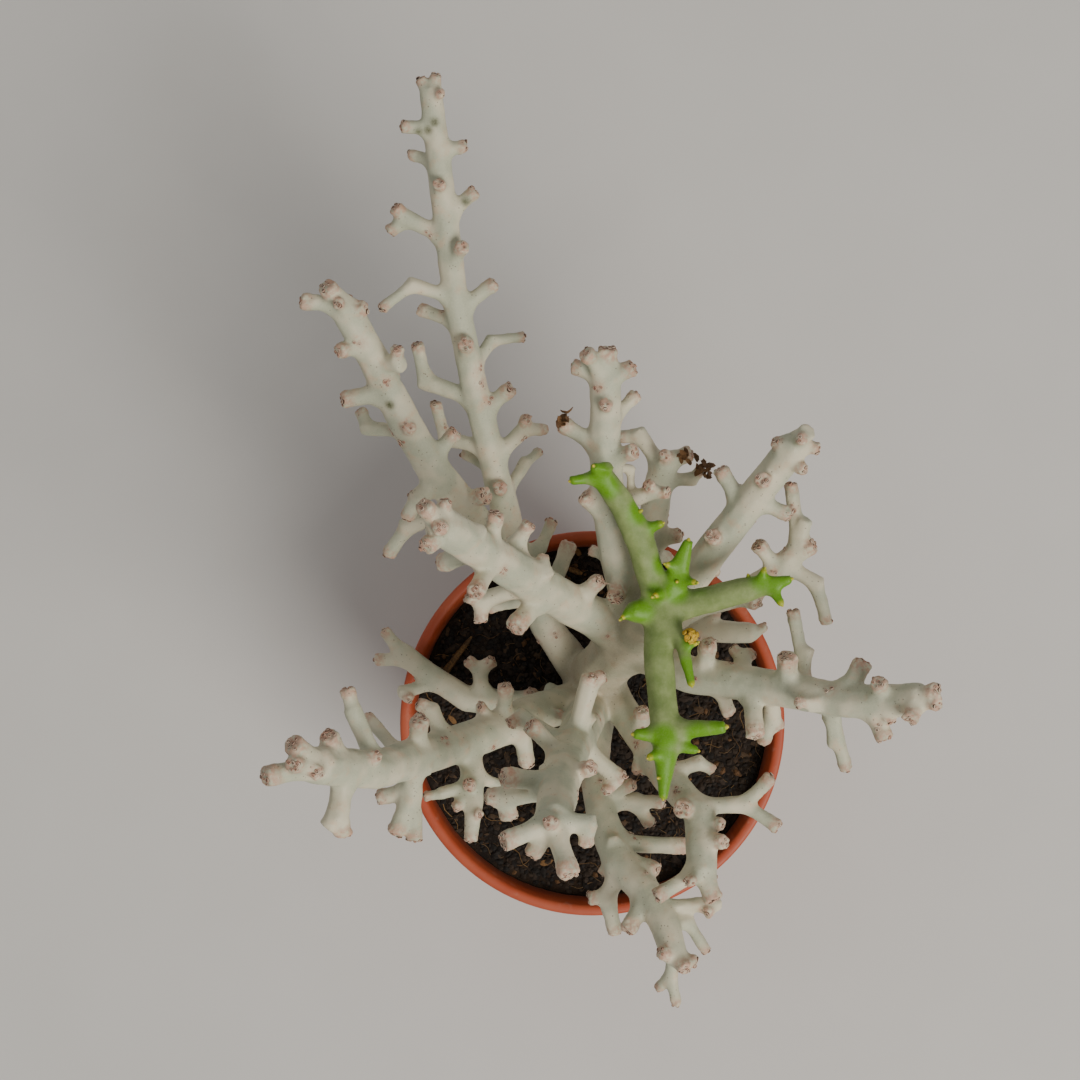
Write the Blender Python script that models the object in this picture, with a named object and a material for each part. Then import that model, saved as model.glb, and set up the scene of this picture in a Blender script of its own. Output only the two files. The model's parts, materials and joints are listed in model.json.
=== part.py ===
"""Potted coral euphorbia: a plastic pot, its soil, and a plant of knobbly stems with young green shoots.

Metres, +Z up. The origin is the middle of the pot's underside, and +Y is the way the tallest stem leans.
Stem tables are in whole millimetres and degrees, so that they can be read and changed by hand.
"""

import math

import bmesh
import bpy
from mathutils import Vector

MM = 0.001

# The pot
RIM_RADIUS = 60 * MM
BASE_RADIUS = 43 * MM
POT_HEIGHT = 95 * MM
WALL = 1.6 * MM
FLOOR = 2.2 * MM
LIP_DEPTH = 9 * MM
LIP_STEP = 2.2 * MM
LIP_ROLL = 3.1 * MM
POT_SIDES = 48
POT_EASE = 1.2 * MM
DRAIN_HOLES = 6
DRAIN_RADIUS = 4 * MM
DRAIN_CIRCLE = 30 * MM
DRAIN_SIDES = 16

# The soil: its ripples are counted over the rim's radius, and its rings are shares of its own radius
SOIL_DROP = 8 * MM
SOIL_RIPPLE = 0.65 * MM
RIPPLES_ACROSS = 1.7
RIPPLES_ALONG = 1.3
SOIL_MOUND = 1.1 * MM
MOUND_RADIUS = 18 * MM
SOIL_RINGS = (1, 0.85, 0.67, 0.5, 0.33, 0.15)
SOIL_FOOT_EASE = 0.8 * MM

# Space between any two pieces
GAP = 0.3 * MM

# The plant. Stem and twig sizes all follow STEM_GIRTH.
STEM_GIRTH = 1.0
STEM_SIDES = 8
TWIG_SIDES = 6
THIN_TWIG_SIDES = 5
THIN_WIDTH = 4.7
ROOT_DEPTH = 26

# A twig's radius at its foot, neck and end, as shares of half its width
FOOT_FLARE = 1.4
NECK = 0.94
KNOB = 1.07
# Its foot is no wider than this share of what it grows on
WIDEST_FOOT = 0.9
# Its neck starts this many widths out of the stem's surface, or at this share of its reach
NECK_LIFT = 0.35
LATEST_NECK = 0.75
# A twig that reaches further than this many stem radii has a web, which stretches its foot down the stem
WEB_FROM = 2
FOOT_WEB = 2.3
# A fork's width as a share of its twig's, and how many widths inside the twig's end it starts
FORK_WIDTH = 0.86
FORK_BACK = 0.3

SOIL_TOP = POT_HEIGHT - SOIL_DROP
SOIL_LINE = -SOIL_DROP / MM

# Faces that meet at less than this many degrees are shaded as one curve
SMOOTH_UNDER = 50
WELD = 0.01 * MM
# No stem runs along this direction, so a tube's rings can start from it
RING_START = (0.31, 0.17, 0.93)

# Colours (linear)
TERRACOTTA = (0.47, 0.075, 0.032)
PEAT = (0.022, 0.014, 0.009)
WAXY_STEM = (0.50, 0.46, 0.38)
OLD_BARK = (0.36, 0.31, 0.24)
YOUNG_GREEN = (0.30, 0.42, 0.13)
STRAW = (0.36, 0.22, 0.10)

# A path point is (x, y, height above the rim, radius) in mm.
# A twig is (share along the stem, heading, reach, rise, width), with (heading, reach, rise) for each fork.
# Headings are degrees anticlockwise from +X. Reach is measured level from the stem's middle line.
STEMS = {
    "north_tall_stem": (
        [(-1, 12, 0, 6), (-14, 30, 8, 5), (-23, 51, 20, 4.6), (-29, 75, 32, 4.2), (-35, 100, 44, 3.9),
         (-41, 129, 54, 3.7), (-44, 156, 62, 3.5), (-47, 184, 70, 3.3)],
        [
            (0.99, 127, 5, 1, 3.9),
            (0.99, 70, 5, 2, 3.9),
            (0.98, 25, 3, 5, 2.9),
            (0.94, 180, 9, 3, 4.3),
            (0.91, 5, 8, 0, 4.3),
            (0.89, 158, 9, -5, 4),
            (0.85, 135, 1, 7, 4),
            (0.81, 41, 11, 2, 4.6),
            (0.78, 155, 15, 1, 5, (238, 5, -2), (120, 2, 2)),
            (0.745, 40, 5, 8, 4.4),
            (0.69, 165, 14, 6, 4.4, (225, 10, 1)),
            (0.67, 38, 13, 1, 4.7),
            (0.65, 158, 13, -6, 4.6),
            (0.605, 95, 2, 8, 4.9),
            (0.575, 60, 12, -3, 4.1, (2, 9, -3)),
            (0.53, 160, 18, -2, 5, (94, 10, 2)),
            (0.51, 37, 11, 4, 4.9),
            (0.45, 168, 15, -3, 4.6, (97, 10, 2)),
            (0.43, 43, 15, 3, 4.9, (-17, 5, -2), (126, 2, 3)),
            (0.41, 148, 11, -8, 3.8),
            (0.375, 90, 1, 8, 4.6),
            (0.36, 60, 14, -6, 4, (36, 5, -4)),
            (0.26, 20, 9, -2, 5, (75, 8, -1)),
            (0.15, 68, 23, -2, 5.4),
        ],
    ),
    "north_west_stem": (
        [(-23, 51, 20, 5), (-35, 62, 34, 5.2), (-46, 76, 50, 5), (-55, 91, 62, 4.7), (-63, 108, 73, 4.4),
         (-70, 121, 84, 4.2)],
        [
            (1, 173, 11, 2, 4.7),
            (1, 130, 6, 6, 5.4),
            (0.98, 13, 5, 2, 4.4),
            (0.985, 140, 2, 8, 3.4),
            (0.87, 198, 7, 6, 4.5),
            (0.81, -6, 8, 6, 5, (108, 4, 3)),
            (0.72, 192, 13, 2, 5.5),
            (0.69, 86, 8, -2, 2.6),
            (0.585, 175, 14, -8, 4.5, (100, 5, -2)),
            (0.58, 115, 1, 8, 4.2),
            (0.475, 47, 11, 2, 4.8),
            (0.41, 222, 10, 4, 5.5, (246, 5, -3)),
            (0.3, 13, 8, 8, 5.8),
            (0.28, 199, 19, -6, 5.4, (240, 9, -3)),
        ],
    ),
    "north_west_near_stem": (
        [(8, 30, 32, 6.6), (-7, 38, 50, 6), (-21, 47, 74, 5.8), (-33, 55, 98, 5.5), (-42, 61, 116, 5.2)],
        [
            (0.24, 45, 11, 6, 5.5),
            (0.36, 193, 18, -14, 4.2),
            (0.39, 228, 13, 10, 6.6),
            (0.47, 201, 17, -4, 5.6, (127, 3, 2), (284, 5, 0)),
            (0.45, 52, 5, 8, 4.5, (110, 4, -4)),
            (0.51, 104, 12, 2, 5.2, (40, 5, 2)),
            (0.71, 246, 10, 12, 5.4),
            (0.73, 79, 11, 6, 4.9),
            (0.79, 84, 5, 9, 4.3),
            (0.78, 199, 11, -12, 5.8),
            (0.96, 219, 7, 6, 5.2),
            (1, 131, 6, 8, 5.2),
            (1, 80, 6, 2, 3.8),
            (0.98, 200, 1, 9, 4.2),
        ],
    ),
    "north_stem": (
        [(11, 35, 40, 5.2), (6, 51, 50, 5), (3, 69, 58, 4.8), (2, 85, 65, 4.5), (2, 103, 72, 4.3)],
        [
            (1, 163, 9, -2, 4.7),
            (1, 135, 8, 7, 4.7),
            (1, 85, 7, 3, 6),
            (0.98, 26, 8, 2, 5),
            (0.87, 90, 1, 7, 3.9),
            (0.795, 48, 13, -2, 4.2),
            (0.71, 149, 14, 2, 5),
            (0.67, 17, 8, 7, 5),
            (0.65, -6, 8, -8, 3, (266, 8, -2)),
            (0.47, 23, 15, -3, 4.9, (-22, 3, 3), (155, 3, 5)),
            (0.41, 135, 11, 6, 4.8),
            (0.25, 155, 8, -6, 4),
            (0.2, 257, 7, 7, 6.4),
        ],
    ),
    "north_low_stem": (
        [(10, 27, 18, 4.8), (14, 44, 22, 4.6), (17, 60, 30, 4.4), (19, 75, 36, 4.2), (21, 80, 40, 4)],
        [
            (0.95, 125, 14, 0, 4.8, (203, 5, -2)),
            (1, 117, 2, 5, 4.6),
            (1, 20, 7, 2, 5.2),
            (0.88, 3, 11, -2, 4.4, (60, 3, 2)),
            (0.56, 8, 9, 2, 5),
            (0.49, -17, 7, -4, 4.2),
        ],
    ),
    "north_east_stem": (
        [(17, 33, 38, 5.4), (27, 45, 46, 5.2), (34, 55, 53, 5), (42, 66, 60, 4.8), (50, 77, 68, 4.6),
         (55, 84, 74, 4.4)],
        [
            (1, 53, 4, 6, 5.4),
            (0.95, 143, 5, 2, 3.9),
            (1, 60, 1, 8, 3.4),
            (1, -15, 6, 0, 3.9),
            (0.93, -43, 6, 4, 3.9),
            (0.79, 173, 2, 9, 4.9),
            (0.64, 122, 13, 1, 4.8),
            (0.7, -26, 11, 0, 4.8),
            (0.46, 148, 3, 8, 4.8),
            (0.4, -73, 6, -10, 4),
        ],
    ),
    "east_upper_stem": (
        [(18, 30, 26, 4.2), (31, 38, 34, 4), (44, 42, 42, 3.8), (53, 48, 47, 3.6), (56, 52, 49, 3.5)],
        [
            (0.89, 128, 10, 5, 4.8),
            (1, 61, 6, 2, 5.3, (101, 16, 2), (80, 6, 3)),
            (1, 27, 7, 3, 5),
            (0.95, -31, 12, 0, 4.8, (-79, 11, -2)),
            (0.59, -25, 6, 5, 4.8),
        ],
    ),
    "east_stem": (
        [(14, 24, 32, 5.8), (27, 18, 44, 5.6), (43, 16, 54, 5.2), (57, 14, 63, 5), (70, 12, 72, 4.8),
         (81, 13, 80, 4.5), (88, 14, 86, 4.3)],
        [
            (1, 42, 4, 4, 4.8),
            (1, -27, 4, 4, 4.4),
            (0.985, 243, 6, 4, 5.4),
            (0.87, 114, 6, 7, 4.9),
            (0.86, -66, 6, 2, 3.3),
            (0.82, -67, 11, 1, 5.6),
            (0.73, 62, 12, 2, 5.7),
            (0.71, 264, 6, -6, 5.4, (-82, 8, -1), (-73, 15, -2)),
            (0.63, 204, 5, 7, 3.6),
            (0.62, -80, 3, 7, 4.9),
            (0.55, 97, 10, 6, 6.2),
            (0.6, 88, 9, -6, 4.9, (67, 4, 2), (101, 14, 0)),
            (0.49, -83, 10, -9, 5, (250, 7, -3), (-45, 3, -2)),
            (0.42, -88, 14, 7, 5.6),
            (0.4, 92, 8, -8, 5, (150, 3, 0), (0, 3, 0)),
            (0.3, -70, 11, -3, 4.6),
            (0.25, 84, 10, 9, 5.6),
        ],
    ),
    "east_low_stem": (
        [(9, 20, 15, 4.3), (18, 22, 16, 4), (32, 30, 20, 3.6), (48, 29, 22, 3.2)],
        [
            (0.65, 60, 7, 2, 4),
            (1, 30, 4, 1, 3.6),
        ],
    ),
    "south_east_stem": (
        [(5, 11, 10, 5.2), (14, -2, 22, 4.8), (21, -13, 36, 4.6), (30, -22, 48, 4.6), (30, -32, 55, 4.4),
         (30, -38, 58, 4.2)],
        [
            (0.26, 88, 8, 5, 5.5),
            (0.4, 184, 5, -3, 5.6, (270, 4, 2)),
            (0.5, 22, 12, 4, 4.7, (-48, 4, -2)),
            (0.68, 196, 3, 9, 5.6),
            (0.71, 3, 16, 0, 5.2, (53, 10, 3), (-39, 10, 2)),
            (0.79, 0, 6, 4, 3.8),
            (0.86, 0, 6, 6, 4.6),
            (0.98, 209, 15, 4, 5.1),
            (0.98, -70, 9, 2, 5.6),
            (0.98, 214, 5, 7, 3.7),
        ],
    ),
    "south_stem": (
        [(2, 6, 2, 5.4), (0, -10, 14, 5), (2, -25, 28, 4.8), (7, -38, 38, 4.8), (16, -47, 46, 4.5),
         (20, -55, 52, 4.3), (22, -62, 56, 4)],
        [
            (0.38, 27, 11, 4, 4.7),
            (0.41, 8, 12, -4, 5.2, (-67, 8, -1), (-5, 7, 2)),
            (0.52, -45, 2, 7, 4.6),
            (0.55, -5, 22, -6, 5.8),
            (0.6, -17, 12, 4, 5.1),
            (0.6, 231, 7, -3, 3.2),
            (0.65, 241, 12, -4, 5.6, (166, 4, 0), (-69, 10, 0)),
            (0.78, 235, 11, 5, 5.5),
            (0.83, 4, 19, -2, 4.3, (212, 5, 3)),
            (0.9, 7, 8, -5, 4.2, (-64, 10, 0)),
            (1, 155, 4, 4, 4.6),
            (1, -42, 4, 5, 4.6),
            (1, -13, 6, 2, 4),
            (0.98, 270, 9, -6, 4, (-79, 8, 0), (223, 5, -2)),
        ],
    ),
    "south_near_stem": (
        [(-1, 6, 6, 6.4), (-4, 2, 38, 6), (-8, -2, 64, 5.8), (-11, -9, 92, 5.5), (-13, -16, 116, 5)],
        [
            (0.4, 61, 8, 8, 4.2),
            (0.46, 75, 20, 6, 5.8, (0, 3, -2)),
            (0.47, 100, 3, 8, 4.2),
            (0.5, 149, 18, -2, 4.8, (240, 3, 2)),
            (0.42, -43, 18, -2, 5.4, (210, 5, 3)),
            (0.6, 135, 14, 6, 5.2),
            (0.65, 185, 6, 6, 4.2),
            (0.7, 17, 8, 8, 4.9),
            (0.76, 172, 15, 8, 6),
            (0.8, 193, 17, -10, 6.4, (300, 6, -1), (175, 3, 1)),
            (1, 199, 13, 6, 5.6),
            (1, 238, 10, 0, 5.2),
            (1, -71, 13, 8, 6),
            (1, -3, 11, 0, 5.2, (246, 6, 0)),
            (1, 127, 1, 9, 4.2),
        ],
    ),
    "west_stem": (
        [(-3, 8, 4, 6.2), (-19, 5, 26, 5.8), (-34, 0, 46, 5.6), (-47, -3, 64, 5.5), (-61, -5, 92, 5.3),
         (-74, -1, 120, 5)],
        [
            (0.25, 8, 13, -4, 3.2),
            (0.3, 86, 12, 6, 4.7),
            (0.32, 125, 9, 6, 4.2),
            (0.345, 0, 11, -2, 6, (268, 10, -4)),
            (0.44, 300, 1, 8, 4),
            (0.49, 113, 13, 4, 5, (167, 3, 0)),
            (0.58, -82, 4, 6, 5),
            (0.6, 87, 11, 8, 5.7),
            (0.62, 266, 11, -4, 6, (-86, 12, 0), (246, 11, 2), (184, 9, -2)),
            (0.65, 136, 16, -8, 4.3),
            (0.76, 113, 18, 2, 5, (104, 5, 0)),
            (0.79, 66, 5, 9, 4),
            (0.89, 261, 14, 2, 6.4, (217, 3, 0), (-67, 4, -2)),
            (0.91, 105, 9, 6, 5.6),
            (0.98, 250, 1, 9, 3.8),
            (1, 190, 12, 8, 6),
            (1, 128, 8, 8, 5.8),
            (1, 166, 5, 10, 5),
        ],
    ),
    "south_west_stem": (
        [(-37, 0, 46, 3.8), (-36, -8, 54, 3.4), (-35, -17, 58, 2.8), (-36, -28, 60, 2.1)],
        [
            (0.5, 180, 1, 7, 4.2),
            (0.5, 197, 10, 3, 3.7, (190, 4, 0)),
            (0.42, -25, 10, -4, 4, (-40, 5, 0)),
            (0.56, 223, 7, 3, 3.7),
            (0.66, -70, 4, 4, 2.8),
        ],
    ),
    "west_low_stem": (
        [(-5, 5, -2, 4.8), (-23, 6, 2, 4.4), (-39, 8, 6, 4), (-52, 17, 9, 3.5), (-59, 23, 11, 3.1)],
        [
            (0.17, 72, 7, 8, 4.3),
            (0.25, 82, 5, 3, 4.3),
            (0.5, 92, 11, 3, 5, (160, 4, 0), (22, 4, 0)),
            (0.74, 194, 13, 4, 4.3, (-27, 4, 2)),
            (0.94, 183, 10, 0, 4.2),
            (1, 128, 8, 1, 4),
        ],
    ),
}

TRUNK = [(-4, 3, SOIL_LINE - ROOT_DEPTH, 6.5), (-4, 4, SOIL_LINE, 8), (2, 17, 12, 8.4), (10, 27, 32, 8.2),
         (14, 31, 44, 6.6), (18, 37, 57, 6)]

SHOOTS = [
    ([(18, 37, 61, 4.4), (12, 57, 66, 4.2), (6, 68, 70, 3.8), (1, 75, 73, 3.4)],
     [(1, 190, 8, 2, 4), (1, 135, 3, 5, 4), (1, 60, 3, 4, 4), (0.55, 20, 7, 3, 3.4)]),
    ([(18, 37, 61, 4.2), (9, 37, 65, 3.2)], [(1, 220, 3, 2, 3)]),
    ([(20, 38, 61, 4), (25, 56, 69, 2.4)],
     [(0.3, 200, 6, 6, 3.6), (0.45, -10, 5, 5, 3.2), (0.6, 160, 4, 3, 3)]),
    ([(19, 37, 61, 4.2), (41, 43, 68, 3.6), (53, 46, 72, 2)],
     [(0.75, 70, 5, 3, 3), (0.85, -60, 6, 2, 3)]),
    ([(20, 38, 63, 2.4), (24, 26, 69, 1.8), (26, 17, 71, 1.6)],
     [(0.55, 20, 4, 2, 2.6)]),
    ([(18, 37, 61, 4.4), (17, 26, 65, 4.3), (18, 12, 68, 4.2), (19, 1, 72, 3.8), (18, -14, 74, 1.9)],
     [(0.68, 178, 8, 2, 4.5), (0.66, 5, 15, 3, 6), (0.76, 200, 5, 4, 3), (0.72, -15, 8, 1, 4)]),
]

# Slivers of bark on the soil: (share of the soil's radius, direction from its middle, heading, length, width)
SLIVERS = {
    "bark_sliver_left": (0.87, 155, 53, 17, 2.4),
    "bark_sliver_back": (0.89, 98, 160, 8, 2),
}
SLIVER_THICK = 0.9 * MM
SLIVER_TOP = 0.7
# A sliver's outline: (share of its length from its middle, share of its width to each side)
SLIVER_OUTLINE = ((-0.5, 0.25), (-0.3, 0.5), (0.1, 0.42), (0.38, 0.3), (0.5, 0.12))


def clear_scene():
    for obj in list(bpy.data.objects):
        bpy.data.objects.remove(obj)


def make_material(name, colour, roughness):
    material = bpy.data.materials.new(name)
    material.use_nodes = True
    shader = material.node_tree.nodes["Principled BSDF"]
    shader.inputs["Base Color"].default_value = (*colour, 1)
    shader.inputs["Roughness"].default_value = roughness
    return material


def object_from(name, shape, material=None):
    """A mesh object in the scene, made from a bmesh, which is freed."""
    bmesh.ops.recalc_face_normals(shape, faces=shape.faces)
    mesh = bpy.data.meshes.new(name)
    shape.to_mesh(mesh)
    shape.free()
    mesh.shade_smooth()
    mesh.set_sharp_from_angle(angle=math.radians(SMOOTH_UNDER))
    if material:
        mesh.materials.append(material)
    obj = bpy.data.objects.new(name, mesh)
    bpy.context.scene.collection.objects.link(obj)
    return obj


def combine(obj, other, operation):
    """Joins or cuts obj with other for good, then removes other."""
    modifier = obj.modifiers.new(operation, "BOOLEAN")
    modifier.object = other
    modifier.operation = operation
    modifier.solver = "EXACT"
    modifier.use_self = operation == "UNION"
    graph = bpy.context.evaluated_depsgraph_get()
    finished = bpy.data.meshes.new_from_object(obj.evaluated_get(graph))
    obj.modifiers.clear()
    finished.name = obj.name
    obj.data = finished
    bpy.data.objects.remove(other)


def keep_largest_island(obj):
    """Drops the crumbs that a cut leaves behind."""
    shape = bmesh.new()
    shape.from_mesh(obj.data)
    unseen = set(shape.verts)
    islands = []
    while unseen:
        island = []
        edge = [unseen.pop()]
        while edge:
            vert = edge.pop()
            island.append(vert)
            for link in vert.link_edges:
                other = link.other_vert(vert)
                if other in unseen:
                    unseen.remove(other)
                    edge.append(other)
        islands.append(island)
    largest = max(islands, key=len)
    for island in islands:
        if island is not largest:
            bmesh.ops.delete(shape, geom=island, context="VERTS")
    shape.to_mesh(obj.data)
    shape.free()


def tube_shape(points, radii, sides):
    """A closed tube through the points, with a ring square to the path at each and flat ends."""
    shape = bmesh.new()
    side = Vector(RING_START)
    rings = []
    for i, point in enumerate(points):
        ahead = points[min(i + 1, len(points) - 1)] - points[max(i - 1, 0)]
        ahead.normalize()
        side = (side - ahead * side.dot(ahead)).normalized()
        across = ahead.cross(side)
        ring = []
        for k in range(sides):
            turn = math.tau * k / sides
            ring.append(shape.verts.new(point + (side * math.cos(turn) + across * math.sin(turn)) * radii[i]))
        rings.append(ring)
    for lower, upper in zip(rings, rings[1:]):
        for k in range(sides):
            after = (k + 1) % sides
            shape.faces.new((lower[k], lower[after], upper[after], upper[k]))
    shape.faces.new(reversed(rings[0]))
    shape.faces.new(rings[-1])
    return shape


def stem_point(entry):
    x, y, above_rim, _ = entry
    return Vector((x * MM, y * MM, POT_HEIGHT + above_rim * MM))


def stem_radius(entry):
    return entry[3] * MM * STEM_GIRTH


def along(path, share):
    """The point, the radius and the way ahead at a share of the path's length."""
    points = [stem_point(entry) for entry in path]
    radii = [stem_radius(entry) for entry in path]
    lengths = [(b - a).length for a, b in zip(points, points[1:])]
    left = share * sum(lengths)
    for i, length in enumerate(lengths):
        if left <= length or i == len(lengths) - 1:
            part = min(left / length, 1)
            ahead = (points[i + 1] - points[i]).normalized()
            return points[i].lerp(points[i + 1], part), radii[i] + (radii[i + 1] - radii[i]) * part, ahead
        left -= length


def step_from(point, heading, reach, rise):
    turn = math.radians(heading)
    return point + Vector((math.cos(turn) * reach, math.sin(turn) * reach, rise)) * MM


def join_twig(stem, foot, foot_radius, ahead, tip, width, grow):
    """Adds one twig: a foot that runs down what it grows on, a neck, and a slightly swollen blunt end."""
    radius = width / 2 * MM * STEM_GIRTH
    reach = (tip - foot).length
    neck = min(foot_radius + NECK_LIFT * width * MM, LATEST_NECK * reach)
    points = [foot, foot.lerp(tip, neck / reach), tip]
    if grow:
        points[2] = tip + (tip - foot).normalized() * grow
    radii = [min(radius * FOOT_FLARE, foot_radius * WIDEST_FOOT), radius * NECK, radius * KNOB]
    radii = [value + grow for value in radii]
    sides = THIN_TWIG_SIDES if width < THIN_WIDTH else TWIG_SIDES
    shape = tube_shape(points, radii, sides)
    shape.verts.ensure_lookup_table()
    if reach > WEB_FROM * foot_radius:
        for vert in shape.verts[:sides]:
            behind = (vert.co - foot).dot(-ahead)
            vert.co -= ahead * max(behind, 0) * (FOOT_WEB - 1)
    combine(stem, object_from("twig", shape), "UNION")


def grow_stem(name, path, twigs, material=None, grow=0.0):
    """One stem with its twigs and forks as a single body. grow swells it all over, for use as a cutter."""
    points = [stem_point(entry) for entry in path]
    if grow:
        points[0] = points[0] + (points[0] - points[1]).normalized() * grow
        points[-1] = points[-1] + (points[-1] - points[-2]).normalized() * grow
    radii = [stem_radius(entry) + grow for entry in path]
    stem = object_from(name, tube_shape(points, radii, STEM_SIDES), material)
    for share, heading, reach, rise, width, *forks in twigs:
        foot, foot_radius, ahead = along(path, share)
        tip = step_from(foot, heading, reach, rise)
        join_twig(stem, foot, foot_radius, ahead, tip, width, grow)
        for fork_heading, fork_reach, fork_rise in forks:
            way = (tip - foot).normalized()
            heart = tip - way * FORK_BACK * width * MM
            end = step_from(tip, fork_heading, fork_reach, fork_rise)
            join_twig(stem, heart, width / 2 * MM, way, end, width * FORK_WIDTH, grow)
    return stem


def box_of(obj):
    corners = [obj.matrix_world @ vert.co for vert in obj.data.vertices]
    low = [min(corner[k] for corner in corners) for k in range(3)]
    high = [max(corner[k] for corner in corners) for k in range(3)]
    return low, high


def near(first, second):
    low_a, high_a = box_of(first)
    low_b, high_b = box_of(second)
    return all(low_a[k] < high_b[k] and low_b[k] < high_a[k] for k in range(3))


def trim(obj, cutters):
    """Keeps obj clear of every cutter that comes near it."""
    for cutter in cutters:
        if near(obj, cutter):
            tool = cutter.copy()
            bpy.context.scene.collection.objects.link(tool)
            combine(obj, tool, "DIFFERENCE")
            keep_largest_island(obj)


def make_plant(waxy, bark, green):
    """Trunk first. Each later stem keeps the gap to everything that was made before it."""
    trunk = grow_stem("trunk", TRUNK, [], bark)
    cutters = [grow_stem("trunk_room", TRUNK, [], grow=GAP)]
    for name, (path, twigs) in STEMS.items():
        stem = grow_stem(name, path, twigs, waxy)
        trim(stem, cutters)
        cutters.append(grow_stem(name + "_room", path, twigs, grow=GAP))
    shoots = None
    for path, twigs in SHOOTS:
        shoot = grow_stem("young_green_shoots", path, twigs, green)
        if shoots is None:
            shoots = shoot
        else:
            combine(shoots, shoot, "UNION")
    trim(shoots, cutters)
    trunk_room = cutters.pop(0)
    for cutter in cutters:
        bpy.data.objects.remove(cutter)
    return trunk_room


def inner_radius(height):
    """The pot's inside radius at a height, under the lip."""
    under_lip = RIM_RADIUS - LIP_STEP
    share = height / POT_HEIGHT
    return BASE_RADIUS + (under_lip - BASE_RADIUS) * share - WALL


def turned(profile, sides):
    """A closed solid of revolution from an outline of (radius, height) that starts and ends on the axis."""
    shape = bmesh.new()
    verts = [shape.verts.new((radius, 0, height)) for radius, height in profile]
    edges = [shape.edges.new(pair) for pair in zip(verts, verts[1:])]
    bmesh.ops.spin(
        shape,
        geom=verts + edges,
        cent=(0, 0, 0),
        axis=(0, 0, 1),
        angle=math.tau,
        steps=sides,
        use_merge=True,
    )
    bmesh.ops.remove_doubles(shape, verts=shape.verts, dist=WELD)
    return shape


def eased(before, corner, after):
    """Three points that round off one corner of an outline."""
    corner = Vector(corner)
    start = corner + (Vector(before) - corner).normalized() * POT_EASE
    end = corner + (Vector(after) - corner).normalized() * POT_EASE
    return [start, (start + 2 * corner + end) / 4, end]


def make_pot(material):
    """A tapered pot with a stepped lip, an open top and a ring of drainage holes."""
    top = POT_HEIGHT
    lip_low = POT_HEIGHT - LIP_DEPTH
    wall_at_lip = inner_radius(lip_low) + WALL
    step_low = top - LIP_ROLL
    foot = (BASE_RADIUS, 0)
    lip_outer = (RIM_RADIUS, lip_low)
    rim_outer = (RIM_RADIUS, top)
    rim_inner = (RIM_RADIUS - LIP_ROLL, top)
    step = (inner_radius(step_low), step_low)
    floor_edge = (inner_radius(FLOOR), FLOOR)
    profile = [
        (0, 0),
        *eased((0, 0), foot, (wall_at_lip, lip_low)),
        (wall_at_lip, lip_low),
        *eased((wall_at_lip, lip_low), lip_outer, rim_outer),
        *eased(lip_outer, rim_outer, rim_inner),
        *eased(rim_outer, rim_inner, step),
        step,
        *eased(step, floor_edge, (0, FLOOR)),
        (0, FLOOR),
    ]
    pot = object_from("pot", turned(profile, POT_SIDES), material)
    for k in range(DRAIN_HOLES):
        turn = math.tau * (k + 0.5) / DRAIN_HOLES
        shape = bmesh.new()
        bmesh.ops.create_cone(
            shape,
            cap_ends=True,
            segments=DRAIN_SIDES,
            radius1=DRAIN_RADIUS,
            radius2=DRAIN_RADIUS,
            depth=4 * FLOOR,
        )
        drill = object_from("drill", shape)
        drill.location = (DRAIN_CIRCLE * math.cos(turn), DRAIN_CIRCLE * math.sin(turn), 0)
        drill.rotation_euler.z = math.pi / DRAIN_SIDES
        combine(pot, drill, "DIFFERENCE")
    return pot


def soil_height(x, y):
    """A gently uneven surface, a little higher round the trunk. x and y in metres."""
    ripple = math.sin(math.tau * RIPPLES_ACROSS * x / RIM_RADIUS)
    ripple *= math.cos(math.tau * RIPPLES_ALONG * y / RIM_RADIUS)
    mound = math.exp(-(x * x + y * y) / MOUND_RADIUS**2)
    return SOIL_TOP + SOIL_RIPPLE * ripple + SOIL_MOUND * mound


def soil_radius():
    """The soil's own radius at its top, just inside the pot's wall."""
    return inner_radius(SOIL_TOP) - 2 * GAP


def soil_ring(shape, radius, height=None):
    """Points round the pot's axis, on the soil's surface unless a height is given."""
    ring = []
    for k in range(POT_SIDES):
        turn = math.tau * k / POT_SIDES
        x = radius * math.cos(turn)
        y = radius * math.sin(turn)
        z = soil_height(x, y) if height is None else height
        ring.append(shape.verts.new((x, y, z)))
    return ring


def make_soil(material, trunk_room):
    """Fills the pot from its floor to a soft, uneven surface, with a socket for the trunk's foot."""
    shape = bmesh.new()
    foot_height = FLOOR + GAP
    foot_radius = inner_radius(foot_height) - GAP - SOIL_FOOT_EASE
    rings = [soil_ring(shape, foot_radius, foot_height)]
    for share in SOIL_RINGS:
        rings.append(soil_ring(shape, share * soil_radius()))
    for lower, upper in zip(rings, rings[1:]):
        for k in range(POT_SIDES):
            after = (k + 1) % POT_SIDES
            shape.faces.new((lower[k], lower[after], upper[after], upper[k]))
    shape.faces.new(reversed(rings[0]))
    top = shape.verts.new((0, 0, soil_height(0, 0)))
    for k in range(POT_SIDES):
        shape.faces.new((rings[-1][k], rings[-1][(k + 1) % POT_SIDES], top))
    bmesh.ops.triangulate(shape, faces=shape.faces)
    soil = object_from("soil", shape, material)
    combine(soil, trunk_room, "DIFFERENCE")
    return soil


def level(degrees):
    """A direction in the level plane."""
    turn = math.radians(degrees)
    return Vector((math.cos(turn), math.sin(turn), 0))


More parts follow.
